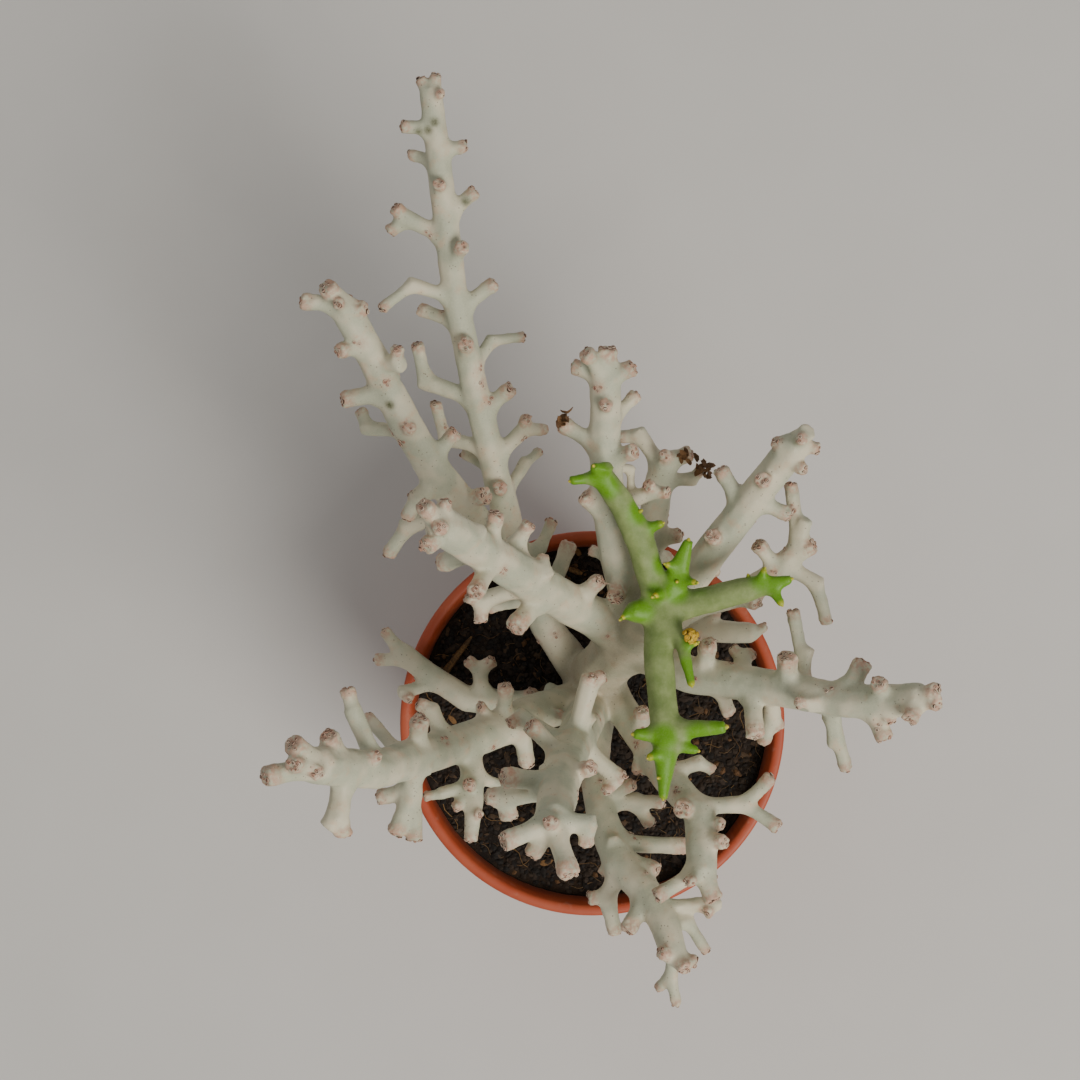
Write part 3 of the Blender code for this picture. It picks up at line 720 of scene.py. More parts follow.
def paint_skin():
    paint = Paint("waxy_skin")
    blush = paint.attribute("blush")
    algae = paint.attribute("algae")
    green = paint.attribute("greenness")
    fresh = paint.attribute("freshness")
    tip = paint.attribute("bud_tip")
    # Where the skin turns to bark near the trunk, with painted shade added at the hub and low down
    old = paint.attribute("bark_and_shade")
    clouds = paint.noise(11 * MM, 2)
    patches = paint.noise(4.5 * MM, 3)
    grain = paint.noise(0.55 * MM, 2, 0.7)
    colour = paint.mix(clouds.ramp(0.36, 0.62), WAX_PALE, WAX_GREY)
    colour = paint.mix(patches.ramp(0.53, 0.76) * (0.35 + blush * 0.4), colour, PEACH)
    # Bark near the trunk, partly real and partly painted shade of the shaded hub and the lower stems
    colour = paint.mix(old * (0.35 + patches * 0.65), colour, BARK_AND_SHADE)
    crust = blush.ramp(0.1, 0.95) * paint.noise(1.3 * MM, 3).ramp(0.32, 0.6)
    colour = paint.mix(crust * 0.8, colour, END_PINK)
    specks = paint.cells(1.25 * MM).ramp(0.21, 0.09) * paint.noise(2.6 * MM, 2).ramp(0.48, 0.6)
    colour = paint.mix(specks * 0.8, colour, SPECK)
    leaf = paint.mix(patches.ramp(0.25, 0.85), LEAF_GREEN, PALE_GREEN)
    leaf = paint.mix(fresh.ramp(0.1, 0.75), leaf, BRIGHT_GREEN)
    leaf = paint.mix(tip.ramp(0.2, 0.9), leaf, BUD_YELLOW)
    edge_of_green = (green + (patches - 0.5) * 0.6 * green * (1 - green) * 4).ramp(0.25, 0.8)
    colour = paint.mix(edge_of_green, colour, leaf)
    colour = paint.mix(algae * (patches + 0.45), colour, ALGAE)
    colour = paint.mix(grain.ramp(0.35, 0.7) * (0.16 - green * 0.12), colour, WAX_BLOOM)
    height = paint.noise(0.9 * MM, 3, 0.6) * 0.6 + grain * 0.4 - specks * 0.5
    rough = 0.52 + grain * 0.16 - fresh * 0.15
    bump = paint.bump(height, 0.12 * MM, 0.8)
    return paint.finish(colour, rough, bump, Specular_IOR_Level=0.38)


skin_material = paint_skin()
print("skin material with", len(skin_material.node_tree.nodes), "nodes")

# %% [markdown]
# ## One piece for each stem
# The whole skin is one surface, but a part library wants each stem by itself. Every face joins
# the stem whose solid is nearest. The cuts run through the forks, each piece is closed there by a
# hidden cap, and the normals of the whole skin are kept, so that the light doesn't show the cuts.

# %% Share the skin out
LEAST_ISLAND = 400
SMOOTHINGS = 4


def islands_of(labels, neighbours):
    """Groups of touching faces with one label."""
    seen = np.zeros(len(labels), bool)
    for start in range(len(labels)):
        if seen[start]:
            continue
        seen[start] = True
        group, todo = [start], [start]
        while todo:
            here = todo.pop()
            for other in neighbours[here]:
                if not seen[other] and labels[other] == labels[here]:
                    seen[other] = True
                    group.append(other)
                    todo.append(other)
        yield group


def shared_faces(mesh):
    """Corner indices of every quad, and for each quad those that share an edge with it."""
    quads = np.empty(len(mesh.polygons) * 4, np.int32)
    mesh.polygons.foreach_get("vertices", quads)
    quads = quads.reshape(-1, 4)
    edges = np.stack([quads, np.roll(quads, -1, axis=1)], axis=2).reshape(-1, 2)
    edges.sort(axis=1)
    face_of = np.repeat(np.arange(len(quads)), 4)
    order = np.lexsort((edges[:, 1], edges[:, 0]))
    edges, face_of = edges[order], face_of[order]
    same = (edges[1:] == edges[:-1]).all(axis=1)
    pairs = np.stack([face_of[:-1][same], face_of[1:][same]], axis=1)
    neighbours = [[] for _ in quads]
    for first, second in pairs.tolist():
        neighbours[first].append(second)
        neighbours[second].append(first)
    return quads, neighbours


def face_labels(quads, neighbours):
    """The plant node that each quad goes to, with ragged borders and small islands cleared up."""
    labels = owner[quads[:, 0]].copy()
    for _ in range(SMOOTHINGS):
        before = labels.copy()
        for face, around in enumerate(neighbours):
            differ = [before[other] for other in around if before[other] != before[face]]
            corner = len(around) == 3 and len(differ) == 2 and differ[0] == differ[1]
            if len(differ) >= 3 or corner:
                labels[face] = max(set(differ), key=differ.count)
    for group in islands_of(labels.copy(), neighbours):
        if len(group) < LEAST_ISLAND:
            own = labels[group[0]]
            rim = [labels[other] for face in group for other in neighbours[face]]
            rim = [label for label in rim if label != own]
            if rim:
                labels[group] = max(set(rim), key=rim.count)
    return labels


all_quads = all(len(face.vertices) == 4 for face in grown.polygons)
print("skin has", len(grown.polygons), "quads:", all_quads)
quads, neighbours = shared_faces(grown)
labels = face_labels(quads, neighbours)
counts = {name: int((labels == number).sum()) for number, name in enumerate(PLANT)}
print("faces for each node:", counts)

# %% Cut, cap and hand over each piece
skin_normals = np.empty(len(grown.vertices) * 3, np.float32)
grown.vertices.foreach_get("normal", skin_normals)
skin_normals = skin_normals.reshape(-1, 3)
all_points = points_of(grown)


def spread_of(seeds, radius):
    """For each skin point, 1 at the nearest seed and 0 beyond radius."""
    finder = finder_of(seeds)
    distance = np.array([finder.find(point)[2] for point in seekable])
    return 1 - ease(distance / radius)


shoot_ends = [middle for middle, _, _ in twig_ends["young_green_shoots"]]
# The youngest growth, and where algae has taken hold: (x, y, height over the rim) in mm
FRESH = (
    (0, 75, 77), (2, 72, 75), (11, 65, 70), (22, 43, 67), (22.5, 46.4, 68),
    (23, 50, 69), (24, 54.3, 70), (12, 37, 67), (46, 46, 70), (50, 45, 72),
    (25, 21, 72), (18, 2, 74), (18, -4, 75), (18, -9, 75), (28, 3, 74),
)
ALGAE_PATCHES = (
    (-47.7, 171.9, 69.9), (-45.8, 174, 70.6), (-50.2, 171.6, 69.8),
    (-37.2, 152.8, 63.2), (-58.3, 94.9, 69.9),
)
FRESH_RADIUS = 7 * MM
BUD_TIP_RADIUS = 1.9 * MM
ALGAE_RADIUS = 2.3 * MM
fresh_seeds = shoot_ends + [over_rim(*place) for place in FRESH]
on_green = ease((greenness - 0.5) / 0.4)
freshness = spread_of(fresh_seeds, FRESH_RADIUS) * on_green
bud_tip = spread_of(shoot_ends, BUD_TIP_RADIUS) * on_green
algae = spread_of([over_rim(*place) for place in ALGAE_PATCHES], ALGAE_RADIUS)
# Near the trunk: its older bark, and painted shade in the forks that the tall stems shade
bark_and_shade = (1 - ease(distance_to("trunk", seekable) / (9 * MM))) * (1 - greenness)
# Painted shade: the mark stays stronger lower down, so the low stems come out darker
bark_and_shade *= 1 - 0.35 * ease((all_points[:, 2] - soil_high.z) / (70 * MM))
marks = {
    "blush": blush,
    "greenness": greenness,
    "freshness": freshness,
    "bud_tip": bud_tip,
    "bark_and_shade": bark_and_shade,
    "algae": algae,
}


def joined_edges(edges):
    """Open edges in groups that hang together, in the same order each run."""
    left = dict.fromkeys(edges)
    while left:
        group, todo = [], [left.popitem()[0]]
        while todo:
            edge = todo.pop()
            group.append(edge)
            for vert in edge.verts:
                for other in vert.link_edges:
                    if other in left:
                        del left[other]
                        todo.append(other)
        yield group


def close_cuts(mesh, normals):
    """Caps each cut with a fan to its middle. Gives open edges, and the normals of all points."""
    shape = bmesh.new()
    shape.from_mesh(mesh)
    normals = normals.tolist()
    open_edges = [edge for edge in shape.edges if edge.is_boundary]
    for group in list(joined_edges(open_edges)):
        rim = dict.fromkeys(vert for edge in group for vert in edge.verts)
        heart = shape.verts.new(sum((vert.co for vert in rim), Vector()) / len(rim))
        normals.append((0.0, 0.0, 1.0))
        for edge in group:
            loop = edge.link_loops[0]
            shape.faces.new((loop.link_loop_next.vert, loop.vert, heart))
    left = sum(edge.is_boundary for edge in shape.edges)
    shape.to_mesh(mesh)
    shape.free()
    return left, normals


def cut_piece(number, name):
    own = quads[labels == number]
    used, corners = np.unique(own, return_inverse=True)
    mesh = bpy.data.meshes.new(name + "_skin")
    mesh.from_pydata(all_points[used].tolist(), [], corners.reshape(-1, 4).tolist())
    left_open, normals = close_cuts(mesh, skin_normals[used])
    mesh.shade_smooth()
    mesh.normals_split_custom_set_from_vertices(normals)
    hidden = len(mesh.vertices) - len(used)
    for mark, values in marks.items():
        store(mesh, mark, np.append(values[used], np.zeros(hidden)))
    if left_open:
        print(name, "has", left_open, "open edges")
    return link_object(name + "_skin", mesh, skin_material)


SKIN_SLOTS = {"trunk": "old_stem_bark", "young_green_shoots": "young_green"}
for number, name in enumerate(PLANT):
    keep_piece(cut_piece(number, name), SKIN_SLOTS.get(name, "waxy_stem"), name)

# %% [markdown]
# ## Scars where flowers were
# Each blunt end carries a handful of ring-shaped scars, about a millimetre wide, that old flowers
# have left. They repeat hundreds of times, so a tree scatters one small crater over the ends. The
# crater is turned from a profile, and it stores how far each point is from its middle for its
# colour.

# %% Ring scar template
SIDES = 8
SCAR_RADIUS = 0.62 * MM
SCAR_PROFILE = (
    # share of the radius, height in radii
    (1.0, -0.55), (0.95, 0.08), (0.74, 0.42), (0.52, 0.30), (0.36, -0.02), (0.20, 0.20),
)


def turned_template(name, profile, sides, radius):
    """A small turned shape that is open below, with a radial mark from 0 in the middle to 1."""
    corners, faces, radial = [], [], []
    for share, height in profile:
        for cos, sin in circle(sides):
            corners.append((share * cos * radius, share * sin * radius, height * radius))
            radial.append(share)
    rings = [list(range(row * sides, (row + 1) * sides)) for row in range(len(profile))]
    for lower, upper in zip(rings, rings[1:]):
        faces.extend(zip(lower, onward(lower), onward(upper), upper))
    faces += [rings[-1], rings[0][::-1]]
    mesh = bpy.data.meshes.new(name)
    mesh.from_pydata(corners, [], faces)
    mesh.shade_smooth()
    store(mesh, "radial", radial)
    return link_template(name, mesh)


scar_template = turned_template("scar_template", SCAR_PROFILE, SIDES, SCAR_RADIUS)
print("scar of", len(scar_template.data.polygons), "faces")

# %% Scar material
SCAR_LIP = (0.50, 0.285, 0.20)
SCAR_PALE = (0.66, 0.53, 0.41)
SCAR_DARK = (0.06, 0.024, 0.014)


def paint_scars():
    paint = Paint("flower_scar")
    radial = paint.attribute("radial")
    patches = paint.noise(1.6 * MM, 2)
    groove = radial.ramp(0.18, 0.34) * radial.ramp(0.66, 0.45)
    outline = radial.ramp(0.84, 0.97)
    colour = paint.mix(patches.ramp(0.38, 0.62), SCAR_LIP, SCAR_PALE)
    colour = paint.mix(groove * (0.5 + patches * 0.6), colour, SCAR_DARK)
    colour = paint.mix(outline * patches.ramp(0.25, 0.5) * 0.95, colour, SCAR_DARK)
    height = paint.noise(0.35 * MM, 2)
    return paint.finish(colour, 0.7 + patches * 0.1, paint.bump(height, 0.08 * MM, 0.7))


scar_material = paint_scars()
print("scar material ready")

# %% Scatter the scars
SCAR_SPACING = 1.2 * MM
# Tries for each point, before those that stand too close are dropped
CROWDING = 4


def scatter(name, spacing, smallest, largest, seed, material, template, mark, least):
    """A tree that puts copies of template on the faces where mark is more than least."""
    tree = ShapeTree(name, Spacing=spacing, Smallest=smallest, Largest=largest, Seed=seed)
    inputs = {
        "Mesh": tree.geometry,
        "Selection": tree.mark(mark) > least,
        "Distance Min": tree.get("Spacing"),
        "Density Max": CROWDING / spacing**2,
        "Seed": tree.get("Seed"),
    }
    spread = {"distribute_method": "POISSON"}
    points = tree.add("GeometryNodeDistributePointsOnFaces", spread, inputs, "Points")
    way = points.socket.node.outputs["Rotation"]
    size = tree.random(tree.get("Smallest"), tree.get("Largest"), seed + 1)
    tree.stand_copies(points, way, size, template, material, seed, seed + 2)
    return tree


store(grown, "scar_zone", scar_zone)
scar_tree = scatter(
    "flower_scars",
    SCAR_SPACING,
    smallest=0.7,
    largest=1.3,
    seed=3,
    material=scar_material,
    template=scar_template,
    mark="scar_zone",
    least=0.9,
)
scars = link_object("flower_scars", scar_tree.apply_to(plant))
keep_piece(scars, "waxy_stem")

# %% [markdown]
# ## Buds, a flower and dead bits
# The young shoots end in small yellow-green buds, and a tight cluster of tiny yellow flowers sits
# on the thinnest one. A few old ends hold crumpled brown remains. Each kind is one template,
# stood on a list of places by a tree that turns every copy along its own direction.

# %% Stand copies on places


def stand_copies(name, template, material, places, ways, sizes, seed):
    """Copies of template at places, each with its Z along a way, at its own size."""
    spots = bpy.data.meshes.new(name + "_spots")
    spots.from_pydata([tuple(place) for place in places], [], [])
    way_layer = spots.attributes.new("way", "FLOAT_VECTOR", "POINT")
    way_layer.data.foreach_set("vector", [value for way in ways for value in way])
    store(spots, "size", sizes)
    carrier = link_object(name + "_spots", spots)
    tree = ShapeTree(name, Size=1.0)
    toward = {"Vector": tree.mark("way", "FLOAT_VECTOR")}
    way = tree.add("FunctionNodeAlignRotationToVector", {"axis": "Z"}, toward)
    size = tree.mark("size") * tree.get("Size")
    points = tree.add("GeometryNodeMeshToPoints", None, {"Mesh": tree.geometry})
    tree.stand_copies(points, way, size, template, material, seed, seed + 1)
    mesh = tree.apply_to(carrier)
    bpy.data.objects.remove(carrier)
    return link_object(name, mesh)


BUD_PROFILE = ((1.0, -0.9), (1.05, 0.0), (0.86, 0.75), (0.52, 1.35), (0.2, 1.65))
CUP_PROFILE = ((0.45, -0.8), (0.8, -0.1), (1.0, 0.55), (0.78, 0.85), (0.5, 0.5), (0.25, 0.75))
bud_template = turned_template("bud_template", BUD_PROFILE, SIDES, 0.8 * MM)
cup_template = turned_template("cup_template", CUP_PROFILE, SIDES, 0.75 * MM)
BUD_PLACES = ((11.7, 64.9, 70.4), (22.3, 45.5, 68), (42.1, 46.7, 69), (17, -9, 75))
# dark, light, rim, roughness
BUD_LOOK = ((0.19, 0.28, 0.01), (0.70, 0.55, 0.06), (0.42, 0.42, 0.02), 0.45)


def paint_growth_bits(name, dark, light, rim, rough):
    """Shades from dark at the edge to light in the middle, with a coloured rim, varied by copy."""
    paint = Paint(name)
    radial = paint.attribute("radial")
    tint = paint.attribute("tint")
    grain = paint.noise(0.4 * MM, 2)
    colour = paint.mix(radial.ramp(0.95, 0.3), dark, light)
    colour = paint.mix(tint.ramp(0.3, 0.9) * 0.6, colour, rim)
    return paint.finish(colour, rough + grain * 0.15, paint.bump(grain, 0.08 * MM, 0.6))


def wrap(skin_place, rise=0.0):
    """The skin's nearest point and its normal, for something that sits on the skin."""
    _, index, _ = skin_finder.find(skin_place)
    way = Vector(skin_normals[index].tolist())
    return Vector(all_points[index].tolist()) + way * rise, way


bud_places, bud_ways, bud_sizes = [], [], []
for middle, way, radius in twig_ends["young_green_shoots"]:
    bud_places.append(middle + way * radius * 0.25)
    bud_ways.append(way)
    bud_sizes.append(radius / (1.5 * MM) * 0.62)
for place in BUD_PLACES:
    spot, way = wrap(over_rim(*place))
    bud_places.append(spot)
    bud_ways.append(way)
    bud_sizes.append(0.8)
bud_material = paint_growth_bits("young_buds", *BUD_LOOK)
buds = stand_copies("shoot_buds", bud_template, bud_material, bud_places, bud_ways, bud_sizes, 5)
keep_piece(buds, "young_green")

# %% Flowers and dead bits
FLOWER_PLACE = (25.6, 30.2, 70.5)
FLOWERS = 17
GOLDEN_ANGLE = 2.39996
FLAKE_THICKNESS = 0.18 * MM
# Where a flake's colour is taken from, on the way from the middle to the edge
FLAKE_RADIAL = 0.6
# dark, light, rim, roughness
FLOWER_LOOK = ((0.48, 0.30, 0.02), (0.72, 0.42, 0.03), (0.55, 0.45, 0.05), 0.5)
DEAD_LOOK = ((0.10, 0.045, 0.015), (0.22, 0.11, 0.04), (0.05, 0.022, 0.01), 0.75)
DEAD_BITS = (
    # where, how many flakes, how far they spread in mm
    ((-9.3, 90.9, 67.5), 9, 1.8),
    ((31.8, 77.9, 36.0), 16, 3.0),
    ((26.0, 81.0, 44.0), 7, 2.0),
)

flower_heart = over_rim(*FLOWER_PLACE)
draw = np.random.default_rng(12)
flower_ways = []
for k in range(FLOWERS):
    lift = 1 - 1.15 * (k + 0.5) / FLOWERS
    turn = k * GOLDEN_ANGLE
    level = math.sqrt(max(1 - lift * lift, 0))
    way = Vector((level * math.cos(turn) + 0.35, level * math.sin(turn), lift))
    flower_ways.append(way.normalized())
flower_places = [flower_heart + way * draw.uniform(1.3, 1.9) * MM for way in flower_ways]
sizes = draw.uniform(0.8, 1.25, FLOWERS)
look = paint_growth_bits("yellow_flowers", *FLOWER_LOOK)
flowers = stand_copies("flower_cluster", cup_template, look, flower_places, flower_ways, sizes, 8)
keep_piece(flowers, "young_green")


def flake_template(name, radius, seed):
    """A dead bract: a thin, curled, ragged leaf."""
    corners = [(0, 0, 0)]
    for ring in (0.55, 1.0):
        for k, (cos, sin) in enumerate(circle(SIDES)):
            ragged = 1 + 0.35 * noise.noise(Vector((cos * 2, sin * 2, seed)))
            reach = ring * ragged * radius
            curl = (ring * ring) * radius * (0.5 + 0.5 * math.cos(2 * (math.tau * k / SIDES)))
            corners.append((reach * cos * 1.5, reach * sin * 0.8, curl))
    inner, outer = list(range(1, 1 + SIDES)), list(range(1 + SIDES, 1 + 2 * SIDES))
    faces = [(0, first, second) for first, second in zip(inner, onward(inner))]
    faces.extend(zip(inner, outer, onward(outer), onward(inner)))
    mesh = bpy.data.meshes.new(name)
    mesh.from_pydata(corners, [], faces)
    leaf = link_object(name, mesh)
    thick = leaf.modifiers.new("thickness", "SOLIDIFY")
    thick.thickness = FLAKE_THICKNESS
    leaf = link_template(name, baked(leaf))
    store(leaf.data, "radial", [FLAKE_RADIAL] * len(leaf.data.vertices))
    return leaf


flake = flake_template("flake_template", 0.95 * MM, 4.0)
flake_places, flake_ways = [], []
for place, count, spread in DEAD_BITS:
    heart, out = wrap(over_rim(*place), 0.5 * MM)
    for _ in range(count):
        shift = Vector(draw.normal(0, spread * 0.5, 3).tolist()) * MM
        shift -= out * min(shift.dot(out), 0)
        flake_places.append(heart + shift)
        flake_ways.append((Vector(draw.normal(0, 1, 3).tolist()) + out).normalized())
sizes = draw.uniform(0.7, 1.3, len(flake_places))
look = paint_growth_bits("dead_bracts", *DEAD_LOOK)
dead = stand_copies("dead_bracts", flake, look, flake_places, flake_ways, sizes, 15)
keep_piece(dead, "straw")

# %% [markdown]
# ## The pot
# A nursery pot is blown or moulded from thin, terracotta-coloured plastic: a tapered wall, a
# raised lip that stiffens the rim, and holes to drain. One outline turned round the axis makes
# all of it but the holes, which a Boolean cuts. Its sizes come from the frame's pot and soil.

# %% Turn the pot
POT_SIDES = 144
WALL = 1.6 * MM
FLOOR = 2.2 * MM
LIP_DEPTH = 9 * MM
LIP_STEP = 2.2 * MM
LIP_WIDTH = 3.1 * MM
DRAIN_HOLES = 6
DRAIN_RADIUS = 4 * MM
DRAIN_CIRCLE = 30 * MM
# A small turn keeps the drills' corners off the pot's own
DRILL_TURN = math.radians(2)
DRILL_SIDES = 32

rim_radius = (pot_high.x - pot_low.x) / 2
pot_height = pot_high.z
low_points = [vert.co for vert in nodes["pot"].data.vertices if vert.co.z < FLOOR]
base_radius = max(math.hypot(*point.xy) for point in low_points)


def outer_radius(height):
    """The wall's outside at a height, under the lip."""
    return base_radius + (rim_radius - LIP_STEP - base_radius) * height / pot_height


def eased(before, corner, after, size, steps=4):
    """Points of a curve that rounds off one corner of an outline."""
    corner = Vector(corner)
    start = corner + (Vector(before) - corner).normalized() * size
    end = corner + (Vector(after) - corner).normalized() * size
    shares = [step / steps for step in range(steps + 1)]
    return [start.lerp(corner, t).lerp(corner.lerp(end, t), t) for t in shares]


def rounded_outline(corners):
    """An outline of (radius, height, easing). The first and last points stay sharp."""
    points = [Vector(corners[0][:2])]
    for before, corner, after in zip(corners, corners[1:], corners[2:]):
        points += eased(before[:2], corner[:2], after[:2], corner[2])
    return points + [Vector(corners[-1][:2])]


def turned_mesh(name, outline, sides):
    """Turns an outline of (radius, height) round the axis. Its ends may lie on the axis."""
    shape = bmesh.new()
    verts = [shape.verts.new((radius, 0, height)) for radius, height in outline]
    edges = [shape.edges.new(pair) for pair in zip(verts, verts[1:])]
    full_turn = {"axis": (0, 0, 1), "angle": math.tau, "steps": sides, "use_merge": True}
    bmesh.ops.spin(shape, geom=verts + edges, cent=(0, 0, 0), **full_turn)
    bmesh.ops.remove_doubles(shape, verts=shape.verts, dist=0.005 * MM)
    bmesh.ops.recalc_face_normals(shape, faces=shape.faces)
    return mesh_from(name, shape)


lip_low = pot_height - LIP_DEPTH
step_low = pot_height - LIP_WIDTH
POT_CORNERS = [
    (0, 1.2 * MM, 0),
    (base_radius - 9 * MM, 1.2 * MM, 0.5 * MM),
    (base_radius - 8 * MM, 0, 0.5 * MM),
    (base_radius, 0, 1.4 * MM),
    (outer_radius(lip_low - 1.5 * MM), lip_low - 1.5 * MM, 0.5 * MM),
    (outer_radius(lip_low) + 0.6 * MM, lip_low, 0.4 * MM),
    (rim_radius - 0.5 * MM, lip_low, 0.8 * MM),
    (rim_radius, pot_height, 1.35 * MM),
    (rim_radius - LIP_WIDTH, pot_height, 1.2 * MM),
    (outer_radius(step_low) - WALL, step_low, 0.9 * MM),
    (outer_radius(FLOOR) - WALL, FLOOR, 1.5 * MM),
    (0, FLOOR, 0),
]


def cut_drains(pot):
    """Drills the ring of holes through the base."""
    shape = bmesh.new()
    for k in range(DRAIN_HOLES):
        turn = math.tau * (k + 0.5) / DRAIN_HOLES
        middle = (DRAIN_CIRCLE * math.cos(turn), DRAIN_CIRCLE * math.sin(turn), 0)
        bmesh.ops.create_cone(
            shape,
            cap_ends=True,
            segments=DRILL_SIDES,
            radius1=DRAIN_RADIUS,
            radius2=DRAIN_RADIUS,
            depth=4 * FLOOR,
            matrix=Matrix.Translation(middle) @ Matrix.Rotation(DRILL_TURN, 4, "Z"),
        )
    drills = link_object("drills", mesh_from("drills", shape))
    cut = pot.modifiers.new("drains", "BOOLEAN")
    cut.object = drills
    cut.operation = "DIFFERENCE"
    cut.solver = "EXACT"
    mesh = baked(pot)
    bpy.data.objects.remove(drills)
    return mesh


POT_RED = (0.40, 0.062, 0.022)
POT_FADED = (0.47, 0.105, 0.045)
POT_STAIN = (0.16, 0.05, 0.028)
LIME_BLOOM = (0.52, 0.33, 0.25)


def paint_pot():
    paint = Paint("terracotta_plastic")
    height = paint.add("ShaderNodeSeparateXYZ", None, {0: paint.place}, 2)
    clouds = paint.noise(16 * MM, 3)
    smears = paint.noise(5 * MM, 4, 0.65)
    inside_soil = height.ramp(soil_high.z + 5 * MM, soil_high.z - 1.5 * MM)
    colour = paint.mix(clouds.ramp(0.35, 0.7) * 0.6, POT_RED, POT_FADED)
    inner = paint.attribute("inside")
    colour = paint.mix(inner * inside_soil * (0.25 + smears), colour, POT_STAIN)
    bloom = smears.ramp(0.56, 0.72) * height.ramp(pot_height - 9 * MM, pot_height) * 0.22
    colour = paint.mix(bloom, colour, LIME_BLOOM)
    scuffs = paint.noise(0.9 * MM, 2, 0.7)
    rough = 0.42 + smears * 0.2 + bloom
    bump = paint.bump(scuffs * 0.5 + smears * 0.5, 0.06 * MM, 0.6)
    return paint.finish(colour, rough, bump, Specular_IOR_Level=0.45)


pot_blank = link_object("pot_blank", turned_mesh("pot", rounded_outline(POT_CORNERS), POT_SIDES))
pot_mesh = cut_drains(pot_blank)
pot_mesh.shade_smooth()
pot_mesh.set_sharp_from_angle(angle=math.radians(40))
pot_points = points_of(pot_mesh)
pot_reach = np.hypot(pot_points[:, 0], pot_points[:, 1])
wall_middle = np.array([outer_radius(z) - WALL / 2 for z in pot_points[:, 2]])
store(pot_mesh, "inside", (pot_reach < wall_middle) & (pot_points[:, 2] > FLOOR / 2))
pot = link_object("nursery_pot", pot_mesh, paint_pot())
keep_piece(pot, "terracotta_plastic", "pot")

# %% [markdown]
# ## The soil
# Peat is a heap of crumbs and fibres, nearly black when damp. A fine, uneven disc stands for the
# bulk of it, and keeps the frame's height and width. The crumbs that catch the light come next.

# %% Uneven peat
PEAT_RINGS = 70
PEAT_SPOKES = 220
PEAT_LUMP = 1.7 * MM

soil_shape = clean_copy("soil")
soil_surface = BVHTree.FromBMesh(soil_shape)
soil_shape.free()
soil_edge = outer_radius(soil_high.z) - WALL - 0.25 * MM
soil_foot = outer_radius(soil_low.z) - WALL - 1.2 * MM


def peat_height(x, y):
    """The frame's soil height, with clods and grains on it."""
    hit = soil_surface.ray_cast(Vector((x, y, pot_height)), Vector((0, 0, -1)))[0]
    on_top = hit is not None and hit.z > soil_high.z - 4 * MM
    base = hit.z if on_top else soil_high.z - 1 * MM
    place = Vector((x, y, 0))
    clods = noise.fractal(place / (7 * MM), 0.9, 2.1, 4)
    grains = noise.noise(place / (1.6 * MM))
    return base - 0.4 * MM + PEAT_LUMP * (0.55 * clods + 0.28 * grains)


def peat_mesh():
    """A closed disc of soil, lumpy above and flat below."""
    shape = bmesh.new()
    spokes = circle(PEAT_SPOKES)
    rings = []
    for ring in range(1, PEAT_RINGS + 1):
        radius = soil_edge * ring / PEAT_RINGS
        places = [(radius * cos, radius * sin) for cos, sin in spokes]
        rings.append([shape.verts.new((x, y, peat_height(x, y))) for x, y in places])
    foot = [(soil_foot * cos, soil_foot * sin, soil_low.z) for cos, sin in spokes]
    rings.append([shape.verts.new(place) for place in foot])
    for inner, outer in zip(rings, rings[1:]):
        for corners in zip(inner, outer, onward(outer), onward(inner)):
            shape.faces.new(corners)
    top = shape.verts.new((0, 0, peat_height(0, 0)))
    for first, second in zip(rings[0], onward(rings[0])):
        shape.faces.new((top, first, second))
    shape.faces.new(rings[-1][::-1])
    bmesh.ops.recalc_face_normals(shape, faces=shape.faces)
    mesh = mesh_from("peat_bed", shape)
    mesh.shade_smooth()
    return mesh


PEAT_BLACK = (0.010, 0.0062, 0.0040)
PEAT_BROWN = (0.027, 0.015, 0.008)
PEAT_STRAW = (0.062, 0.034, 0.016)


def paint_peat():
    paint = Paint("peat")
    clods = paint.noise(6 * MM, 4)
    grains = paint.noise(1.1 * MM, 3, 0.65)
    colour = paint.mix(clods.ramp(0.42, 0.68), PEAT_BLACK, PEAT_BROWN)
    colour = paint.mix(grains.ramp(0.58, 0.74) * 0.6, colour, PEAT_STRAW)
    height = grains * 0.7 + paint.noise(0.5 * MM, 2) * 0.3
    rough = 0.82 + grains * 0.12
    return paint.finish(colour, rough, paint.bump(height, 0.7 * MM), Specular_IOR_Level=0.3)


peat_bed = link_object("peat_bed", peat_mesh(), paint_peat())
keep_piece(peat_bed, "peat", "soil")

# %% [markdown]
# ## Crumbs, chips and fibres
# What makes soil look like soil is what lies loose on it: crumbs of peat from half a millimetre
# to three, chips of bark, and pale root fibres. Three small templates, scattered by the same kind
# of tree as the scars, give thousands of pieces that never line up.

# %% Crumb and fibre templates


def crumb_template(name, radius, stretch, flatness, seed):
    """A lumpy grain of 20 faces."""
    shape = bmesh.new()
    bmesh.ops.create_icosphere(shape, subdivisions=1, radius=radius)
    for vert in shape.verts:
        vert.co *= 1 + 0.45 * noise.noise(vert.co / radius * 1.3 + Vector((seed, 0, 0)))
        vert.co.x *= stretch
        vert.co.z *= flatness
    return link_template(name, mesh_from(name, shape))


def fibre_template(name, length, radius, bends, seed):
    """A thin root fibre: a wavering tube that tapers to both ends."""
    shape = bmesh.new()
    rings = []
    for step in range(bends + 1):
        share = step / bends
        sway = noise.noise_vector(Vector((share * 2.2, seed, 0))) * length * 0.32
        middle = Vector(((share - 0.5) * length, sway.y, abs(sway.z) * 0.45))
        thick = radius * (0.35 + 0.65 * math.sin(math.pi * share))
        spokes = [Vector((0, cos * thick, sin * thick)) for cos, sin in circle(3)]
        rings.append([shape.verts.new(middle + spoke) for spoke in spokes])
    for lower, upper in zip(rings, rings[1:]):
        for corners in zip(lower, onward(lower), onward(upper), upper):
            shape.faces.new(corners)
    shape.faces.new(rings[-1])
    shape.faces.new(rings[0][::-1])
    bmesh.ops.recalc_face_normals(shape, faces=shape.faces)
    mesh = mesh_from(name, shape)
    mesh.shade_smooth()
    return link_template(name, mesh)


